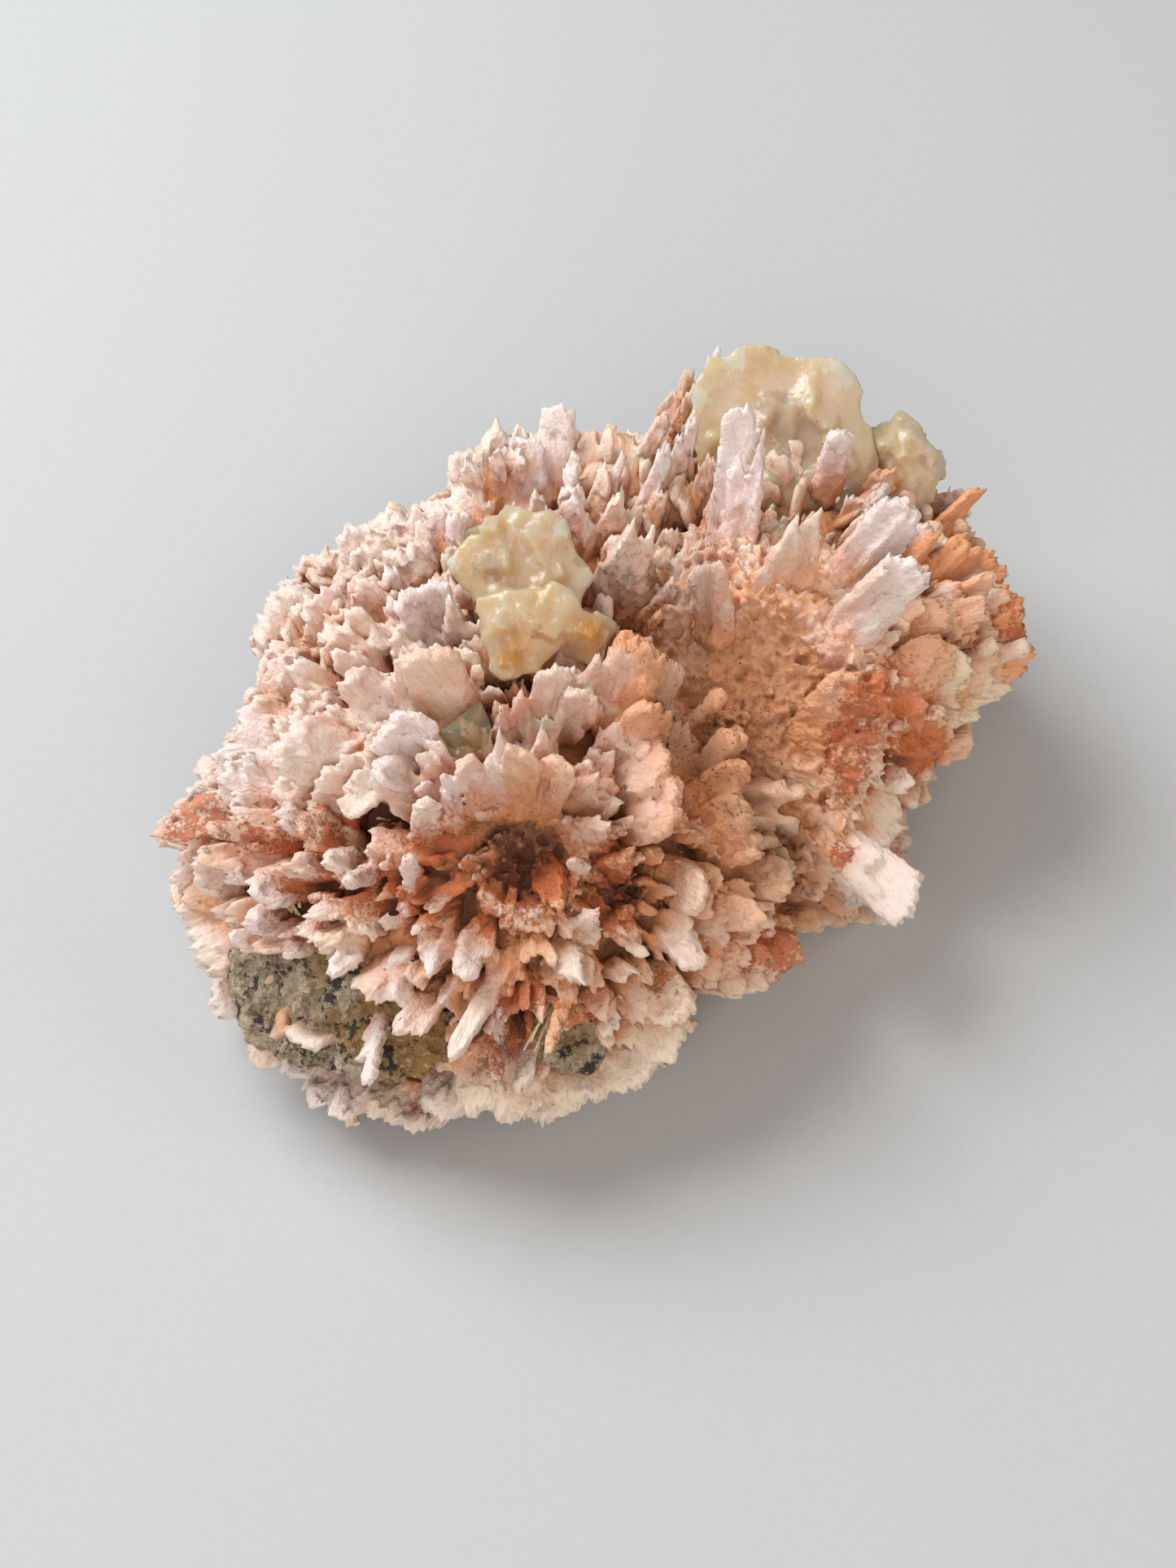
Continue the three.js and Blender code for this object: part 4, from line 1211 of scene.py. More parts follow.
def blade_material(props):
    """Waxy pink-white crystal with rust dust, dark specks, growth lines and painted shade in its crevices."""
    material, tree, shader = new_material("waxy blades")
    place = object_place(tree)
    along, tint, _, fibre = stored(tree, "growth")
    rust, cream, dirt, hue = stored(tree, "weather")
    hemmed, _, pocket_shade, _ = stored(tree, "crevice")
    run = tree.nodes.new("ShaderNodeAttribute")
    run.attribute_name = "fibres"
    lines, height = grouped(tree, grain_group(), Fibres=run.outputs["Vector"], Vector=place)
    cloud, _ = noise(tree, place, 95, 3, 0.6)

    body = mix(tree, plus(tree, hue, ramp(tree, cloud, 0.3, 0.7, -0.25, 0.25)), props.peach, props.lilac)
    whiter = plus(tree, ramp(tree, along, 0.35, 0.9, 0, 0.8), ramp(tree, tint, 0, 1, -0.3, 0.35))
    whiter = times(tree, whiter, ramp(tree, hue, 0, 0.45, 0.1, 1))
    whiter = plus(tree, whiter, times(tree, cream, 0.85))
    whiter = plus(tree, whiter, ramp(tree, lines, 0.35, 0.7, -0.15, 0.15))
    whiter = times(tree, whiter, ramp(tree, dirt, 0.2, 0.9, 1, 0.25))
    body = mix(tree, ramp(tree, whiter, 0, 1), body, mix(tree, hue, props.cream, props.white))

    between = plus(tree, ramp(tree, fibre, 0.52, 0.28, 0, 0.6), ramp(tree, lines, 0.5, 0.3, 0, 0.35))
    between = times(tree, between, ramp(tree, along, 0.3, 0.8, 1, 0.15))
    foot = plus(tree, ramp(tree, along, 0.2, 0.65, 0.3, 0), between)
    dirty = times(tree, dirt, ramp(tree, along, 0, 0.9, 0.95, 0.1))
    body = mix(tree, reckoned(tree, "MAXIMUM", dirty, foot), body, props.tan)

    # Painted shade: tan, then dark brown, the more closely a point is hemmed in by crystal, and deepest in
    # the pockets.
    painted_shade = plus(tree, hemmed, ramp(tree, cloud, 0.3, 0.7, -0.06, 0.06))
    painted_shade = plus(tree, painted_shade, times(tree, pocket_shade, 0.28))
    warm = ramp(tree, painted_shade, props.crevice_start, props.crevice_middle)
    brown = ramp(tree, painted_shade, props.crevice_middle, props.crevice_end)
    body = mix(tree, times(tree, warm, 0.68), body, props.tan)

    # Rust dust, with more of it where the painted crevice shade is.
    low = ramp(tree, painted_shade, 0.15, 0.55, -0.25, 0.4)
    dust, _ = grouped(tree, dusted_group(), Vector=place, Amount=plus(tree, rust, times(tree, low, rust)))
    rust_colour = mix(tree, ramp(tree, cloud, 0.35, 0.65), props.rust, props.orange_rust)
    body = mix(tree, times(tree, rust, 0.3), body, props.orange_rust)
    body = mix(tree, times(tree, dust, 0.85), body, rust_colour)
    # The painted shade of the deepest crevices, in dark brown.
    body = mix(tree, times(tree, brown, 0.92), body, props.deep)
    _, specks = grouped(tree, dusted_group(), Vector=place, Amount=dirt)
    body = mix(tree, times(tree, specks, 0.8), body, props.speck)

    tree.links.new(body, shader.inputs["Base Color"])
    tree.links.new(ramp(tree, height, 0.6, 1.5, 0.66, 0.42), shader.inputs["Roughness"])
    bumped(tree, shader, plus(tree, height, times(tree, dust, 0.35)), 0.9, 0.0006)
    shader.inputs["Subsurface Weight"].default_value = 0.3
    shader.inputs["Subsurface Radius"].default_value = (1.0, 0.45, 0.28)
    shader.inputs["Subsurface Scale"].default_value = 0.0011
    shader.inputs["IOR"].default_value = 1.48
    return material


def yellow_material(props):
    """Honey-yellow, glassy to waxy crystal, dusty brown on top."""
    material, tree, shader = new_material("honey crystal")
    place = object_place(tree)
    upright = tree.nodes.new("ShaderNodeMapping")
    upright.inputs["Rotation"].default_value = (math.radians(-35), 0, 0)
    upright.inputs["Scale"].default_value = (1.0, 0.3, 1.0)
    tree.links.new(place, upright.inputs["Vector"])
    cloud, _ = noise(tree, upright.outputs["Vector"], 120, 4, 0.6)
    fine, _ = noise(tree, upright.outputs["Vector"], 900, 4, 0.65)
    frosted, amber, dirt, _ = stored(tree, "weather")

    body = mix(tree, ramp(tree, cloud, 0.3, 0.6), props.honey, props.pale_honey)
    amber = plus(tree, amber, ramp(tree, cloud, 0.3, 0.7, 0.25, -0.25))
    body = mix(tree, ramp(tree, amber, 0.2, 0.9), body, props.amber)
    body = mix(tree, ramp(tree, fine, 0.55, 0.75, 0, 0.4), body, props.frost)
    frost = ramp(tree, plus(tree, frosted, ramp(tree, fine, 0.3, 0.7, -0.3, 0.3)), 0.45, 0.75)
    body = mix(tree, times(tree, frost, 0.9), body, props.frost)
    dust, _ = grouped(tree, dusted_group(), Vector=place, Amount=dirt)
    body = mix(tree, times(tree, dust, 0.5), body, props.dusty_brown)

    tree.links.new(body, shader.inputs["Base Color"])
    dull = reckoned(tree, "MAXIMUM", dust, frost)
    tree.links.new(ramp(tree, dull, 0, 1, 0.24, 0.55), shader.inputs["Roughness"])
    bumped(tree, shader, plus(tree, cloud, times(tree, fine, 0.5)), 0.7, 0.0005)
    soaked(tree, props.honey, 25.0)
    shader.inputs["Transmission Weight"].default_value = 0.4
    shader.inputs["IOR"].default_value = 1.5
    shader.inputs["Subsurface Weight"].default_value = 0.8
    shader.inputs["Subsurface Radius"].default_value = (1.0, 0.7, 0.3)
    shader.inputs["Subsurface Scale"].default_value = 0.005
    return material


def clear_material(props):
    """Pale greenish glassy crystal."""
    material, tree, shader = new_material("clear crystal")
    veil, _ = noise(tree, object_place(tree), 500, 4, 0.6)
    shader.inputs["Base Color"].default_value = (*props.clear_tint[:3], 1)
    tree.links.new(ramp(tree, veil, 0.4, 0.7, 0.06, 0.35), shader.inputs["Roughness"])
    shader.inputs["Transmission Weight"].default_value = 0.85
    shader.inputs["IOR"].default_value = 1.5
    bumped(tree, shader, veil, 0.3, 0.0002)
    soaked(tree, props.clear_tint, 120.0)
    return material


def basalt_material(props):
    """Rough weathered rock, speckled tan, black and ochre, with painted shade in black where it is hemmed in.
    """
    material, tree, shader = new_material("speckled basalt")
    place = object_place(tree)
    patches, _ = noise(tree, place, 150, 4, 0.6)
    grains, pick = noise(tree, place, 1000, 5, 0.75)
    dark, _ = noise(tree, place, 430, 5, 0.72)
    chosen = tree.nodes.new("ShaderNodeSeparateColor")
    tree.links.new(pick, chosen.inputs["Color"])
    first, second, third = chosen.outputs
    stained, blackened, _, _ = stored(tree, "weather")
    hemmed = stored(tree, "crevice")[0]

    ochre = plus(tree, stained, ramp(tree, patches, 0.3, 0.7, -0.5, 0.5))
    body = mix(tree, ramp(tree, first, 0.44, 0.56), props.rock_tan, props.rock_olive)
    body = mix(tree, ramp(tree, ochre, 0.2, 0.7), body, props.rock_ochre)
    body = mix(tree, ramp(tree, second, 0.56, 0.62, 0, 0.8), body, props.rock_pale)
    spread = plus(tree, dark, ramp(tree, blackened, 0, 1, -0.015, 0.05))
    # Painted shade: more black where the rock is hemmed in.
    spread = plus(tree, spread, ramp(tree, hemmed, 0.4, 0.8, 0, 0.06))
    body = mix(tree, ramp(tree, spread, 0.53, 0.57, 0, 0.9), body, props.rock_black)
    body = mix(tree, ramp(tree, third, 0.64, 0.68, 0, 0.8), body, props.rock_black)

    tree.links.new(body, shader.inputs["Base Color"])
    shader.inputs["Roughness"].default_value = 0.85
    bumped(tree, shader, reckoned(tree, "SUBTRACT", grains, times(tree, dark, 0.8)), 1.0, 0.0014)
    return material


def needle_material(props):
    """Silky golden needles."""
    material, tree, shader = new_material("golden needles")
    streak, _ = noise(tree, object_place(tree), 800, 2, 0.5)
    tree.links.new(mix(tree, streak, props.needle_gold, props.pale_honey), shader.inputs["Base Color"])
    shader.inputs["Roughness"].default_value = 0.35
    return material


def floor_material(props):
    """Plain pale paper."""
    material, tree, shader = new_material("pale paper")
    fibre, _ = noise(tree, object_place(tree), 900, 3, 0.6)
    darker = tuple(0.97 * part for part in props.floor)
    body = mix(tree, ramp(tree, fibre, 0.3, 0.7), props.floor, darker)
    tree.links.new(body, shader.inputs["Base Color"])
    shader.inputs["Roughness"].default_value = 0.9
    return material


def add_piece(name, mesh, material, slot, *replaces):
    """Put a mesh in the scene as a piece of the specimen."""
    mesh.materials.clear()
    mesh.materials.append(material)
    mesh.name = name
    piece = bpy.data.objects.new(name, mesh)
    bpy.context.scene.collection.objects.link(piece)
    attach(piece, "root")
    if replaces:
        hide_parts(*replaces)
    return piece


def material_once(name, make, colours):
    """A material that is made the first time that it is asked for."""
    return bpy.data.materials.get(name) or make(colours)


def add_crystals(name, mesh, colours):
    """Put a mesh of pink-white crystals in the scene."""
    add_piece(name, mesh, material_once("waxy blades", blade_material, colours), "blades", CLUSTER)


def numbers_of(items, name, width):
    """The numbers that each vertex or face holds under a name, one row for each."""
    flat = np.empty(len(items) * width)
    items.foreach_get(name, flat)
    return flat.reshape(-1, width)


def mesh_points(mesh):
    """The mesh's points in millimetres."""
    return numbers_of(mesh.vertices, "co", 3) / MM


def set_points(mesh, points):
    """Put the mesh's points where they belong, cut flat at the floor."""
    points = points.copy()
    points[:, 2] = np.maximum(points[:, 2], 0)
    mesh.vertices.foreach_set("co", (points * MM).ravel())
    mesh.update()


def ragged(outline, step, bite, rng):
    """An outline broken up into short uneven steps."""
    points = []
    for start, end in zip(np.array(outline), np.roll(outline, -1, axis=0)):
        count = max(1, int(np.linalg.norm(end - start) / step))
        points += [start + (end - start) * i / count + rng.normal(0, bite, 2) for i in range(count)]
    return points


def slab_of(bm, outline, front, deep, rise=0.0):
    """Add a closed slab with an outline that the viewer sees; its front may rise to a ridge."""
    loops = []
    for depth, share in ((front, 1.0), (front - deep, 0.72)):
        corners = seen(*np.array(shrunk(outline, share)).T, np.full(len(outline), depth))
        loops.append(bm.faces.new([bm.verts.new(Vector(corner * MM)) for corner in corners]))
    edges = [edge for face in loops for edge in face.edges]
    bmesh.ops.bridge_loops(bm, edges=edges)
    if rise:
        ridge = bmesh.ops.poke(bm, faces=loops[:1])["verts"]
        bmesh.ops.translate(bm, vec=Vector(TO_VIEWER * rise * MM), verts=ridge)
    bmesh.ops.recalc_face_normals(bm, faces=bm.faces[:])


def store_patches(mesh, *patch_lists):
    """Store how strongly each list of patches covers each point."""
    across, up = picture_of(mesh_points(mesh))
    masks = [patch_weight(patches, across, up) for patches in patch_lists]
    masks += [np.zeros(len(across))] * (4 - len(masks))
    store_colours(mesh, "weather", np.column_stack(masks))


def block_mesh(name, blocks, relief, chunks, size, shape, disorder, stand, share, seed, soften=0):
    """Broken blocks: slabs with chunks of many sizes standing out of their fronts, melted together."""
    rng = np.random.default_rng(seed)
    bm = bmesh.new()
    for outline, over, deep in blocks:
        middle = np.mean(outline, axis=0)
        front = body_depth(*middle)[0] + over
        slab_of(bm, ragged(outline, 1.5, 0.4, rng), front, deep)
        low, high = np.min(outline, axis=0), np.max(outline, axis=0)
        spots = rng.uniform(low, high, (40 * chunks, 2))
        spots = spots[inside(shrunk(outline, 0.78), spots[:, 0], spots[:, 1])][:chunks]
        lean = rng.uniform(-0.12, 0.12, 3)
        for number, (across, up) in enumerate(spots):
            sides = rng.uniform(0.45, 1.0, 3) * size * shape
            sunk = rng.uniform(0.3, 0.8) * deep if number % 3 == 2 else 0
            place = seen(across, up, front - sunk - 0.5 * sides[2] + rng.uniform(0.0, stand) * size)
            turn = Matrix.Identity(4)
            for axis, angle in zip("XYZ", lean + rng.normal(0, disorder, 3)):
                turn = turn @ Matrix.Rotation(angle + (CHUNK_TILT if axis == "X" else 0), 4, axis)
            spot = Matrix.Translation(Vector(place * MM))
            bmesh.ops.create_cube(bm, size=1, matrix=spot @ turn @ Matrix.Diagonal((*(sides * MM), 1)))
    mesh = modified(mesh_of(bm, name), melting(BLOCK_VOXEL, rounds=soften), relief)
    return modified(mesh, [("DECIMATE", {"ratio": share})])


# What the user can change


def part_setting(name, description, value, most=1):
    """A setting that is a share."""
    return FloatProperty(name=name, description=description, default=value, min=0, max=most)


def length_setting(name, description, value, least, most):
    """A setting that is a length in metres."""
    return FloatProperty(
        name=name, description=description, default=value, min=least, max=most, unit="LENGTH"
    )


def count_setting(name, description, value, most):
    """A setting that is a number of things."""
    return IntProperty(name=name, description=description, default=value, min=0, max=most)


class SpecimenShape(bpy.types.PropertyGroup):
    """Sizes of the crystals."""

    tooth_depth: part_setting("Tooth depth", "Depth of the saw teeth, in blade widths", 0.045, 0.3)
    blade_thickness: part_setting("Blade thickness", "Thickness of a large blade, in widths", 0.26)
    plate_spacing: length_setting("Plate spacing", "Distance between small blades", 0.0031, 0.001, 0.01)
    blade_voxel: length_setting("Blade detail", "Smallest form of the large blades", 0.0003, 0.0002, 0.002)
    fray: length_setting("Fray", "How far the ends are drawn out in ragged fibres", 0.0014, 0, 0.004)
    blade_faces: count_setting("Blade faces", "Most triangles in a bed of blades", 178000, 195000)
    far_plates: count_setting("Far plates", "Places for small blades on each lobe's far side", 420, 3000)
    grains: count_setting("Grains", "Tiny crystals in the hollow of the right spray", 8500, 20000)
    voxel: length_setting("Crust detail", "Smallest relief in the crust", 0.0016, 0.0004, 0.004)


def colour(name, description, value):
    """A colour setting."""
    return FloatVectorProperty(
        name=name, description=description, default=value, subtype="COLOR", size=3, min=0, max=1
    )


class SpecimenColours(bpy.types.PropertyGroup):
    """Colours of the crystals and the rock."""

    lilac: colour("Lilac pink", "Cool pink of the tall blades", (0.80, 0.54, 0.515))
    peach: colour("Peach pink", "Warm pink of most plates", (0.77, 0.34, 0.155))
    white: colour("White", "Whitest tips and streaks", (0.82, 0.70, 0.68))
    cream: colour("Cream", "Pale skirt and rims", (0.82, 0.66, 0.46))
    # Tan is dirt in the hollows, and also the painted shade of shallow crevices; deep crevice is the painted
    # shade of the deepest ones.
    tan: colour("Tan", "Dirt in the hollows", (0.64, 0.27, 0.10))
    deep: colour("Deep crevice", "Brown of the deep crevices", (0.13, 0.045, 0.02))
    rust: colour("Rust", "Red iron dust", (0.42, 0.08, 0.025))
    orange_rust: colour("Orange rust", "Lighter iron dust", (0.66, 0.19, 0.055))
    speck: colour("Specks", "Dark specks of dirt", (0.10, 0.06, 0.04))
    honey: colour("Honey", "Deep yellow crystal", (0.80, 0.55, 0.28))
    pale_honey: colour("Pale honey", "Pale yellow crystal", (0.87, 0.71, 0.52))
    frost: colour("Frost", "Whitest parts of the yellow crystal", (0.86, 0.80, 0.68))
    amber: colour("Amber", "Darkest yellow crystal", (0.66, 0.33, 0.09))
    dusty_brown: colour("Dusty brown", "Dirt on the yellow crystals", (0.38, 0.24, 0.14))
    clear_tint: colour("Clear tint", "Greenish glassy crystal", (0.84, 0.76, 0.46))
    rock_tan: colour("Rock tan", "Weathered basalt", (0.70, 0.54, 0.37))
    rock_olive: colour("Rock olive", "Greenish grains in the basalt", (0.45, 0.35, 0.22))
    rock_ochre: colour("Rock ochre", "Stained basalt", (0.46, 0.26, 0.08))
    rock_pale: colour("Rock pale", "Pale grains in the basalt", (0.74, 0.65, 0.54))
    rock_black: colour("Rock black", "Dark grains in the basalt", (0.022, 0.022, 0.024))
    # How hemmed in a point must be for the painted crevice shade to begin, to be all tan, and to turn dark
    # brown.
    crevice_start: part_setting("Crevice start", "How hemmed in a point is that begins to turn tan", 0.22)
    crevice_middle: part_setting("Crevice middle", "How hemmed in a point is that is all tan", 0.42)
    crevice_end: part_setting("Crevice end", "How hemmed in a point is that is dark brown", 0.70)
    needle_gold: colour("Needle gold", "Golden needles", (0.62, 0.44, 0.14))
    floor: colour("Floor", "Pale floor", (0.50, 0.50, 0.495))


# Pieces


class SPECIMEN_OT_shapes(bpy.types.Operator):
    """Make the crystal shapes that all the sprays are built from"""

    bl_idname = "specimen.shapes"
    bl_label = "Crystal shapes"

    def execute(self, context):
        make_shapes(context.scene.specimen_shape)
        return {"FINISHED"}


class SPECIMEN_OT_body(bpy.types.Operator):
    """Build the crust of the grown-together body under the blades"""

    bl_idname = "specimen.body"
    bl_label = "Crystal body"

    def execute(self, context):
        shape, colours = context.scene.specimen_shape, context.scene.specimen_colours
        bm = bmesh.new()
        for centre, radii in LOBES:
            size = Matrix.Diagonal((*[(radius - CRUST_MARGIN) * MM for radius in radii], 1))
            middle = Matrix.Translation([part * MM for part in centre])
            bmesh.ops.create_icosphere(bm, subdivisions=4, radius=1, matrix=middle @ size)
        relief = [("CLOUDS", 9, 2.6), ("VORONOI", 3.2, 1.6), ("CLOUDS", 1.6, 0.8)]
        mesh = modified(mesh_of(bm, "crystal_body"), melting(shape.voxel / MM), relief)
        points = hollowed(mesh_points(mesh))
        set_points(mesh, points)
        count = len(points)
        rng = np.random.default_rng(3)
        own = np.tile(CRUST_FINISH, (count, 1)) + rng.normal(0, 0.02, (count, 4))
        store_fibres(mesh, points, np.full(count, 0.35), np.full(count, 0.3))
        store_colours(mesh, "weather", np.clip(weather_of(points, own), 0, 1))
        mesh.shade_smooth()
        add_crystals("crystal_body", mesh, colours)
        return {"FINISHED"}


def sheaf(growth, blade, thickness_share, rng):
    """One large blade: a thick plate, stepped plates on it, a swollen root and spiky edges."""
    tip_x, tip_y, root_x, root_y, nearer, width, turn, outline, finish = blade
    depth = body_depth(root_x, root_y)[0]
    foot = seen(root_x, root_y, depth - 0.85 * float(hollow_depth(root_x, root_y)))
    tip = seen(tip_x, tip_y, depth + nearer)
    root = foot - BLADE_SINK * (0.4 * unit(tip - foot) + 0.4 * TO_VIEWER)
    length = np.linalg.norm(tip - root)
    along = (tip - root) / length
    face = turned(TO_VIEWER, along, math.radians(turn))
    across = np.cross(along, face)
    thick = max(1.3, width * thickness_share)
    kind = OUTLINE_NAMES.index(outline)
    own = np.array(FINISHES[finish])
    bend = rng.uniform(-0.004, 0.004)
    number = shape_number("large", kind, rng.integers(KINDS))
    growth.add(number, root, along, face, (width, length, thick), bend, own)
    layers = int(np.clip(round(width * 0.35 + rng.uniform(-0.4, 0.6)), 0, 3))
    for _ in range(layers):
        share = rng.uniform(0.35, 0.7)
        reach = rng.uniform(0.6, 0.96)
        slide = rng.choice([-1, 1]) * (0.5 - 0.45 * share) * width * rng.uniform(0.5, 1.0)
        start = root + slide * across + thick * rng.uniform(0.35, 0.7) * face + 0.25 * BLADE_SINK * along
        tilt = unit(along + rng.normal(0, 0.025) * across + rng.normal(0, 0.015) * face)
        likeness = kind if rng.random() < 0.7 else int(rng.integers(4))
        number = shape_number("middle", likeness, rng.integers(KINDS))
        size = (share * width, reach * (length - 0.25 * BLADE_SINK), thick * rng.uniform(0.35, 0.7))
        facing = turned(face, tilt, rng.normal(0, 0.08))
        growth.add(number, start, tilt, facing, size, bend, own + rng.normal(0, 0.04, 4))
    swell = (1.1 * width, 0.36 * length, 1.1 * width)
    growth.add(shape_number("lump", 0, 0), root + 0.08 * length * along, along, face, swell, 0, own)
    visible = length - 0.5 * BLADE_SINK
    for side in (-1, 1):
        for _ in range(int(rng.uniform(2.4, 3.4) * visible)):
            share = rng.beta(1.3, 2.4)
            height = 0.5 * BLADE_SINK + share * visible * 0.9
            edge = half_width(outline, height / length) * width
            start = root + side * (edge - 0.3) * across + height * along + rng.normal(0, 0.28) * thick * face
            lean = unit(along + side * rng.uniform(0.2, 0.7) * across + rng.normal(0, 0.2) * face)
            size = (rng.uniform(0.6, 1.0), rng.uniform(0.9, 1.8) * (1.2 - 0.5 * share), rng.uniform(0.6, 1.0))
            growth.add(shape_number("spike", 0, 0), start, lean, face, size, 0, own)
    for _ in range(int(7 * width)):
        height = 0.5 * BLADE_SINK + rng.beta(1.2, 2.5) * visible * 0.55
        start = root + rng.uniform(-0.5, 0.5) * width * across + height * along + 0.35 * thick * face
        lean = unit(along + rng.normal(0, 0.3) * across + rng.uniform(0.3, 0.9) * face)
        size = (rng.uniform(0.6, 1.0), rng.uniform(0.8, 1.3), rng.uniform(0.6, 1.0))
        growth.add(shape_number("spike", 0, 0), start, lean, face, size, 0, own)


class SPECIMEN_OT_large_blades(bpy.types.Operator):
    """Build the large blades, with the small plates that fill the space between them"""

    bl_idname = "specimen.large_blades"
    bl_label = "Blades"

    def execute(self, context):
        shape, colours = context.scene.specimen_shape, context.scene.specimen_colours
        core = shape_number("core", 0, 0)
        beds = {name: Growth(11) for name in BED_LOBES}
        for name, lobes in BED_LOBES.items():
            for centre, radii in (LOBES[number] for number in lobes):
                foot = np.array(centre) - (0, radii[1] - CORE_MARGIN, 0)
                size = tuple(2 * (radius - CORE_MARGIN) for radius in radii)
                beds[name].add(core, foot, (0, 1, 0), (0, 0, 1), size, 0, CRUST_FINISH)
        rng = np.random.default_rng(12)
        for blade in LARGE_BLADES:
            sheaf(beds[bed_of(blade[2], blade[3])], blade, shape.blade_thickness, rng)
        fill_between(beds, shape.plate_spacing / MM)
        relief = [("CLOUDS", 2.4, 0.3), ("CLOUDS", 0.7, 0.22)]
        voxel, fray = shape.blade_voxel / MM, shape.fray / MM
        for name, growth in beds.items():
            add_crystals(name, growth.melted_mesh(name, voxel, relief, fray, shape.blade_faces), colours)
        return {"FINISHED"}


def bed_of(across, up):
    """Which of the four beds a crystal belongs to."""
    if across > np.interp(up, DIVIDE_UP, DIVIDE_ACROSS):
        return "right_spray_blades"
    if up > 8 - 0.15 * across:
        return "upper_left_blades"
    return "middle_blades" if up > -13 else "lower_left_blades"


def book(growth, root, along, face, size, sheets, finish, kinds, rng):
    """Plates that stand side by side, stepped like the pages of a worn book."""
    width, length, thick = size
    across = np.cross(along, face)
    gap = thick * rng.uniform(0.9, 1.5)
    lean = rng.normal(0, 0.06)
    for sheet in range(sheets):
        shift = (sheet - (sheets - 1) / 2) * gap
        lift = -rng.uniform(0.0, 0.3) * length * (sheet > 0)
        start = root + shift * face + lift * along + rng.normal(0, 0.14) * width * across
        tilt = unit(along + (lean * shift + rng.normal(0, 0.05)) * face + rng.normal(0, 0.08) * across)
        number = shape_number("middle", int(rng.choice(kinds)), rng.integers(KINDS))
        own = np.array(finish) + rng.normal(0, 0.05, 4)
        shares = (rng.uniform(0.6, 1.05), rng.uniform(0.8, 1.05), rng.uniform(0.7, 1.1))
        facing = turned(face, tilt, rng.normal(0, 0.1))
        growth.add(number, start, tilt, facing, np.multiply(size, shares), rng.normal(0, 0.006), own)


def fill_between(beds, step):
    """Fill the space between the large blades with books of small plates."""
    rng = np.random.default_rng(21)
    grid_x, grid_y = np.meshgrid(np.arange(-54, 56, step), np.arange(-44, 56, step * 0.87))
    grid_x = grid_x + step * 0.5 * (np.arange(grid_x.shape[0]) % 2)[:, None]
    across = (grid_x + rng.normal(0, 0.3 * step, grid_x.shape)).ravel()
    up = (grid_y + rng.normal(0, 0.3 * step, grid_y.shape)).ravel()
    keep = inside(OUTLINE, across, up)
    across, up = across[keep], up[keep]
    share, width, length, thick, disorder, towards, sheets = neighbourhood(across, up).T
    foot_depth = body_depth(across, up) - hollow_depth(across, up) - 0.8
    along = spray_growth(across, up, towards * rng.uniform(0.6, 1.4, len(across)))
    along = unit(along + rng.normal(0, 1, along.shape) * (0.16 * np.maximum(disorder, 0.6))[:, None])
    length = length * rng.uniform(0.75, 1.25, len(across))
    width = width * rng.uniform(0.7, 1.2, len(across))
    root = seen(across, up, foot_depth)
    for _ in range(2):
        tip_x, tip_y = picture_of(root + along * length[:, None])
        length = np.where(inside(OUTLINE, tip_x, tip_y), length, length * 0.6)
    tip_x, tip_y = picture_of(root + along * length[:, None])
    basalt = on_blocks(across, up, BASALT_BLOCKS, 0.9)
    yellow = on_blocks(across, up, YELLOW_BLOCKS, 0.85) | inside(CLEAR_OUTLINE, across, up)
    keep = inside(OUTLINE, tip_x, tip_y) & ~basalt & ~yellow & (rng.random(len(across)) < share)
    for i in np.nonzero(keep)[0]:
        face = turned(TO_VIEWER, along[i], rng.normal(0, 0.7 * disorder[i]))
        count = max(1, int(round(sheets[i] + rng.normal(0, 0.6))))
        finish = (0.04, 0.15 * rng.random(), 0.06, rng.uniform(0.15, 0.7))
        size = (width[i], length[i] + PLATE_SINK, thick[i])
        growth = beds[bed_of(across[i], up[i])]
        kinds = (0, 2, 2, 3, 4) if disorder[i] < 0.6 else (1, 4, 4, 3)
        foot = root[i] - PLATE_SINK * along[i]
        book(growth, foot, along[i], face, size, count, finish, kinds, rng)
        side = np.cross(along[i], face)
        for _ in range(int(rng.integers(2, 8))):
            edge = rng.choice([-0.42, 0.42]) * width[i]
            start = root[i] + edge * side + rng.uniform(0.2, 0.75) * length[i] * along[i]
            lean = unit(along[i] + 0.4 * np.sign(edge) * side + rng.normal(0, 0.2, 3))
            size = (rng.uniform(0.6, 1.0), rng.uniform(0.8, 1.6), rng.uniform(0.6, 1.0))
            growth.add(shape_number("spike", 0, 0), start, lean, face, size, 0, finish)


def on_blocks(across, up, pieces, share):
    """Which points the viewer sees on one of the blocks."""
    found = np.zeros(np.shape(across), dtype=bool)
    for blocks in pieces.values():
        for outline, _, _ in blocks:
            found |= inside(shrunk(outline, share), across, up)
    return found


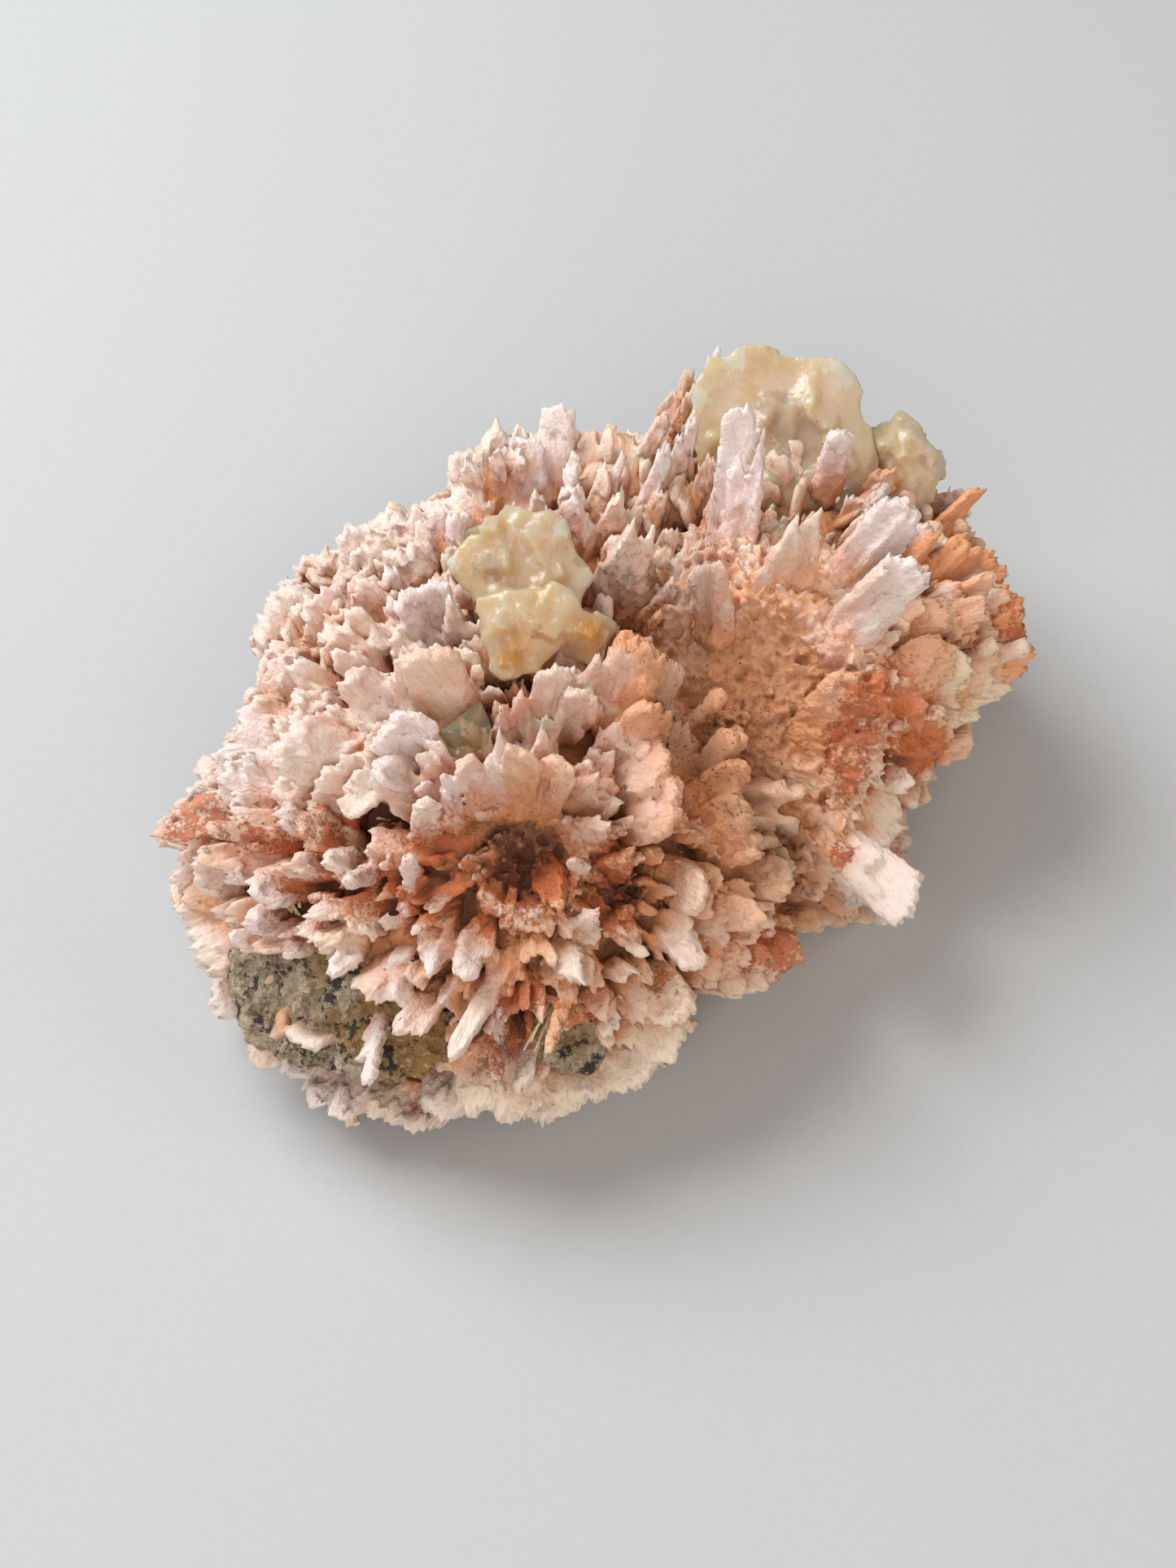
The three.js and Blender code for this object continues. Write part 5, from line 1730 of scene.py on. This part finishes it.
class SPECIMEN_OT_far_blades(bpy.types.Operator):
    """Cover the sides and back with plates"""

    bl_idname = "specimen.far_blades"
    bl_label = "Far blades"

    def execute(self, context):
        shape, colours = context.scene.specimen_shape, context.scene.specimen_colours
        rng = np.random.default_rng(31)
        back = CAD_BOX[1][1] / MM
        growth = Growth(32)
        for number, (centre, radii) in enumerate(LOBES):
            centre, radii = np.array(centre, float), np.array(radii, float)
            index = np.arange(shape.far_plates) + 0.5
            z = 1 - 2 * index / shape.far_plates
            angle = index * math.pi * (3 - math.sqrt(5)) + number
            ring = np.sqrt(1 - z * z)
            out = np.column_stack([ring * np.cos(angle), ring * np.sin(angle), z])
            foot = centre + out * radii
            normal = unit(out / radii)
            keep = (normal @ TO_VIEWER < 0.6) & (foot[:, 2] > 0.3)
            for other, (middle, size) in enumerate(LOBES):
                if other != number:
                    keep &= np.linalg.norm((foot - np.array(middle)) / np.array(size), axis=1) > 1.0
            for i in np.nonzero(keep)[0]:
                along = unit(normal[i] + rng.normal(0, 0.28, 3) + np.array([0, 0, 0.12]))
                along[2] = max(along[2], -0.35)
                along = unit(along)
                length = rng.uniform(3.5, 8.5)
                root = foot[i] - FAR_SINK * along
                for _ in range(2):
                    if not inside(OUTLINE, *picture_of((root + along * (length + FAR_SINK))[None]))[0]:
                        along = unit(along - 0.35 * TO_VIEWER)
                        length *= 0.5
                if along[1] > 0.1:
                    length = min(length, max(0.5, (back - root[1]) / along[1] - FAR_SINK - 0.5))
                face = turned(np.array([0, 0, 1.0]), along, rng.normal(0, 0.6))
                finish = (0.05, rng.uniform(0.1, 0.5), 0.05, rng.uniform(0.1, 0.6))
                size = (rng.uniform(3.5, 6.5), length + FAR_SINK, rng.uniform(1.1, 1.6))
                sheets = int(rng.choice([1, 2, 2, 3]))
                book(growth, root, along, face, size, sheets, finish, (0, 0, 2, 4), rng)
        mesh = growth.melted_mesh("far_side_plates", 0.45, [("CLOUDS", 2.4, 0.3)], 0.8, 92000)
        add_crystals("far_side_plates", mesh, colours)
        return {"FINISHED"}


class SPECIMEN_OT_grains(bpy.types.Operator):
    """Strew tiny crystals over the hollow of the right spray and the heart of the left spray"""

    bl_idname = "specimen.grains"
    bl_label = "Grains"

    def execute(self, context):
        count, colours = context.scene.specimen_shape.grains, context.scene.specimen_colours
        rng = np.random.default_rng(41)
        growth = Growth(42)
        radius = np.sqrt(rng.random(count))
        angle = rng.uniform(0, 2 * math.pi, count)
        heart = rng.random(count) < HEART_SHARE
        middle_x, reach_x, middle_y, reach_y = np.where(heart[:, None], HEART_GRAINS, HOLLOW_GRAINS).T
        across = middle_x + reach_x * radius * np.cos(angle)
        up = middle_y + reach_y * radius * np.sin(angle)
        depth = body_depth(across, up) - hollow_depth(across, up) - 0.4
        root = seen(across, up, depth)
        along = spray_growth(across, up, rng.uniform(0.8, 2.6, count))
        along = unit(along + rng.normal(0, 0.25, along.shape))
        from_middle = np.hypot(across - RIGHT_SPRAY[0], up - RIGHT_SPRAY[1])
        far = np.where(heart, 0.7, np.clip(from_middle / HOLLOW_GRAINS[1], 0, 1))
        for i in range(count):
            length = rng.uniform(0.8, 1.4 + 2.0 * far[i] ** 2)
            size = (rng.uniform(0.5, 0.9 + 0.4 * far[i]), length, rng.uniform(0.4, 0.8))
            own = (0.03, 0.25 * rng.random(), rng.uniform(0.0, 0.3), rng.uniform(0.0, 0.6))
            number = shape_number("grain", 0, rng.integers(KINDS))
            facing = turned(TO_VIEWER, along[i], rng.uniform(0, 3))
            growth.add(number, root[i], along[i], facing, size, 0, own)
        mesh = growth.melted_mesh("hollow_grains", 0.28, [("CLOUDS", 0.8, 0.3)], 0.5, 85000)
        add_crystals("hollow_grains", mesh, colours)
        return {"FINISHED"}


class SPECIMEN_OT_yellow_crystals(bpy.types.Operator):
    """Build the honey-yellow crystal masses"""

    bl_idname = "specimen.yellow_crystals"
    bl_label = "Yellow crystals"

    def execute(self, context):
        colours = context.scene.specimen_colours
        material = material_once("honey crystal", yellow_material, colours)
        relief = [("CLOUDS", 6, 1.3), ("CLOUDS", 1.2, 0.3), ("CLOUDS", 0.5, 0.15)]
        chunks = {"chunks": 20, "size": 6.0, "shape": (0.8, 1.2, 0.8), "disorder": 0.4, "stand": 0.14}
        for name, blocks in YELLOW_BLOCKS.items():
            mesh = block_mesh(name + "_look", blocks, relief, **chunks, share=0.4, seed=71, soften=10)
            store_patches(mesh, FROSTED_PATCHES, AMBER_PATCHES, BROWN_PATCHES)
            mesh.set_sharp_from_angle(angle=math.radians(45))
            add_piece(name + "_look", mesh, material, "yellow_crystal", name)
        return {"FINISHED"}


class SPECIMEN_OT_clear_crystal(bpy.types.Operator):
    """Build the small greenish glassy crystal"""

    bl_idname = "specimen.clear_crystal"
    bl_label = "Clear crystal"

    def execute(self, context):
        colours = context.scene.specimen_colours
        material = material_once("clear crystal", clear_material, colours)
        bm = bmesh.new()
        front = body_depth(*np.mean(CLEAR_OUTLINE, axis=0))[0] + CLEAR_STAND
        slab_of(bm, CLEAR_OUTLINE, front, CLEAR_DEPTH, CLEAR_RIDGE)
        edges = bm.edges[:]
        bmesh.ops.bevel(bm, geom=edges, offset=0.0002, segments=1, profile=0.5, affect="EDGES", material=-1)
        mesh = mesh_of(bm, "clear_crystal_look")
        add_piece("clear_crystal_look", mesh, material, "clear_crystal", "clear_crystal")
        return {"FINISHED"}


class SPECIMEN_OT_basalt(bpy.types.Operator):
    """Build the rough basalt that the crystals grew on"""

    bl_idname = "specimen.basalt"
    bl_label = "Basalt"

    def execute(self, context):
        colours = context.scene.specimen_colours
        material = material_once("speckled basalt", basalt_material, colours)
        relief = [("CLOUDS", 4, 1.4), ("VORONOI", 1.6, 1.4), ("CLOUDS", 0.7, 0.6)]
        chunks = {"chunks": 70, "size": 3.2, "shape": (1, 1, 1), "disorder": 1.5, "stand": 0.1}
        for name, blocks in BASALT_BLOCKS.items():
            mesh = block_mesh(name + "_look", blocks, relief, **chunks, share=0.6, seed=81)
            store_patches(mesh, OCHRE_PATCHES, BLACK_PATCHES)
            add_piece(name + "_look", mesh, material, "basalt", name)
        return {"FINISHED"}


class SPECIMEN_OT_needles(bpy.types.Operator):
    """Build the tufts of golden needles"""

    bl_idname = "specimen.needles"
    bl_label = "Golden needles"

    def execute(self, context):
        colours = context.scene.specimen_colours
        material = material_once("golden needles", needle_material, colours)
        rng = np.random.default_rng(61)
        thick, thin = (radius * MM for radius in NEEDLE_RADII)
        bm = bmesh.new()
        for across, up, lean_x, lean_y, count, length in NEEDLE_TUFTS:
            lean = lean_x * VIEW_RIGHT + lean_y * VIEW_UP + 0.7 * TO_VIEWER
            for _ in range(count):
                x, y = across + rng.normal(0, 0.9), up + rng.normal(0, 0.5)
                root = seen(x, y, body_depth(x, y)[0] + 0.5)
                along = unit(lean + rng.normal(0, 0.18, 3))
                reach = length * rng.uniform(0.6, 1.0)
                turn = Vector(along).to_track_quat("Z", "Y").to_matrix().to_4x4()
                place = Matrix.Translation(Vector((root + along * reach * 0.5) * MM)) @ turn
                bmesh.ops.create_cone(
                    bm, segments=5, radius1=thick, radius2=thin, depth=reach * MM, cap_ends=True, matrix=place
                )
        bmesh.ops.recalc_face_normals(bm, faces=bm.faces[:])
        add_piece("golden_needles", mesh_of(bm, "golden_needles"), material, "yellow_crystal")
        return {"FINISHED"}


def spread_out(field, reach):
    """A field smoothed along each axis over a reach counted in cells."""
    steps = np.arange(-3 * int(math.ceil(reach)), 3 * int(math.ceil(reach)) + 1)
    weight = np.exp(-0.5 * (steps / reach) ** 2)
    weight /= weight.sum()
    for axis in range(3):
        total = np.zeros_like(field)
        for step, share in zip(steps, weight):
            total += share * np.roll(field, step, axis)
        field = total
    return field


class SPECIMEN_OT_crevice_shade(bpy.types.Operator):
    """Find how closely each point is hemmed in, for the painted shade in crevices and pockets"""

    bl_idname = "specimen.crevices"
    bl_label = "Crevices"

    def execute(self, context):
        margin = 12
        low, high = (np.array(corner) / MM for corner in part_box(CLUSTER))
        low, high = low - margin, high + margin
        count = np.ceil(high - low).astype(int)
        matter = np.zeros(count)
        meshes = [piece.data for piece in bpy.data.objects if piece.type == "MESH"]
        meshes = [mesh for mesh in meshes if "weather" in mesh.attributes]
        for mesh in meshes:
            if mesh.name == "hollow_grains":
                continue
            middle = numbers_of(mesh.polygons, "center", 3)
            area = numbers_of(mesh.polygons, "area", 1)[:, 0]
            cells = (middle / MM - low).astype(int)
            np.add.at(matter, tuple(cells.T), area / MM**2)
        matter = np.minimum(matter, FULL)
        steps = [low[i] + np.arange(count[i]) + 0.5 for i in range(3)]
        grid = np.stack(np.meshgrid(*steps, indexing="ij"), -1)
        within = np.zeros(matter.shape, dtype=bool)
        for centre, radii in LOBES:
            within |= (((grid - np.array(centre)) / (np.array(radii) - 1.0)) ** 2).sum(-1) < 1
        across, up = picture_of(grid.reshape(-1, 3))
        depth = (grid.reshape(-1, 3) - MIDDLE) @ TO_VIEWER
        cut = depth > body_depth(across, up) - hollow_depth(across, up)
        matter = np.where(within & ~cut.reshape(within.shape), FULL, matter)
        near = spread_out(matter, CREVICE_SHADE_REACH)
        for mesh in meshes:
            # Painted shade: how hemmed in each point is, and how strongly a shaded pocket covers it low down.
            points = mesh_points(mesh)
            hemmed = sampled(near, points - low - 0.5) / FULL
            low_down = np.clip((3.0 - height_over_body(points)) / 5, 0, 1)
            pocket_shade = patch_weight(POCKET_SHADE_PATCHES, *picture_of(points)) * low_down
            store_colours(mesh, "crevice", np.column_stack([hemmed, low_down, pocket_shade, np.ones(len(points))]))
        return {"FINISHED"}


def sampled(field, place):
    """A field read between its cells."""
    base = np.floor(place).astype(int)
    last = np.array(field.shape) - 1
    return blended(base, place - base, lambda cell: field[tuple(np.clip(cell, 0, last).T)])


class SPECIMEN_OT_stage(bpy.types.Operator):
    """Set up the floor, the lights and the camera"""

    bl_idname = "specimen.stage"
    bl_label = "Stage"

    def execute(self, context):
        scene = context.scene
        bm = bmesh.new()
        bmesh.ops.create_grid(bm, x_segments=1, y_segments=1, size=1.5)
        mesh = mesh_of(bm, "floor")
        mesh.materials.append(floor_material(scene.specimen_colours))
        floor = bpy.data.objects.new("floor", mesh)
        scene.collection.objects.link(floor)
        world = bpy.data.worlds.new("soft room")
        scene.world = world
        world.use_nodes = True
        background = world.node_tree.nodes["Background"]
        background.inputs["Color"].default_value = (0.90, 0.94, 1.0, 1)
        background.inputs["Strength"].default_value = 0.2
        scene.view_settings.view_transform = "Standard"
        lights = [
            ("window", (-0.38, 0.26, 0.54), 0.46, 6.1, (0.93, 0.97, 1.0)),
            ("warm fill", (0.55, -0.10, 0.45), 0.45, 1.1, (1.0, 0.84, 0.68)),
            ("front fill", (-0.05, -0.62, 0.45), 0.60, 3.2, (1.0, 0.96, 0.93)),
        ]
        for name, place, size, power, tint in lights:
            data = bpy.data.lights.new(name, "AREA")
            data.size = size
            data.energy = power
            data.color = tint
            lamp = bpy.data.objects.new(name, data)
            lamp.location = place
            lamp.rotation_euler = (Vector((0, 0, 0.02)) - Vector(place)).to_track_quat("-Z", "Y").to_euler()
            scene.collection.objects.link(lamp)
        data = bpy.data.cameras.new("viewer")
        data.sensor_fit = "HORIZONTAL"
        data.angle = 2 * math.atan(FRAME_WIDTH / 2 / VIEW_DISTANCE)
        data.clip_start = 0.01
        camera = bpy.data.objects.new("viewer", data)
        camera.location = Vector((MIDDLE + VIEW_DISTANCE * TO_VIEWER) * MM)
        camera.rotation_euler = Vector(-TO_VIEWER).to_track_quat("-Z", "Y").to_euler()
        scene.collection.objects.link(camera)
        scene.camera = camera
        return {"FINISHED"}


class SPECIMEN_PT_panel(bpy.types.Panel):
    """Lists the steps that build the specimen"""

    bl_label = "Zeolite Specimen"
    bl_idname = "SPECIMEN_PT_panel"
    bl_space_type = "VIEW_3D"
    bl_region_type = "UI"
    bl_category = "Specimen"

    def draw(self, context):
        for group in (context.scene.specimen_shape, context.scene.specimen_colours):
            box = self.layout.box()
            for name in group.__annotations__:
                box.prop(group, name)
        for step in STEPS:
            self.layout.operator(step.bl_idname)


STEPS = (
    SPECIMEN_OT_stage,
    SPECIMEN_OT_shapes,
    SPECIMEN_OT_body,
    SPECIMEN_OT_large_blades,
    SPECIMEN_OT_far_blades,
    SPECIMEN_OT_grains,
    SPECIMEN_OT_yellow_crystals,
    SPECIMEN_OT_clear_crystal,
    SPECIMEN_OT_basalt,
    SPECIMEN_OT_needles,
    SPECIMEN_OT_crevice_shade,
)
CLASSES = (SpecimenShape, SpecimenColours, *STEPS, SPECIMEN_PT_panel)


def register():
    """Register the classes and the settings."""
    for cls in CLASSES:
        bpy.utils.register_class(cls)
    bpy.types.Scene.specimen_shape = PointerProperty(type=SpecimenShape)
    bpy.types.Scene.specimen_colours = PointerProperty(type=SpecimenColours)


def unregister():
    """Take the settings and the classes away again."""
    del bpy.types.Scene.specimen_colours
    del bpy.types.Scene.specimen_shape
    for cls in reversed(CLASSES):
        bpy.utils.unregister_class(cls)


def main():
    """Build the whole specimen."""
    register()
    for step in STEPS:
        group, name = step.bl_idname.split(".")
        getattr(getattr(bpy.ops, group), name)()


if __name__ == "__main__":
    main()
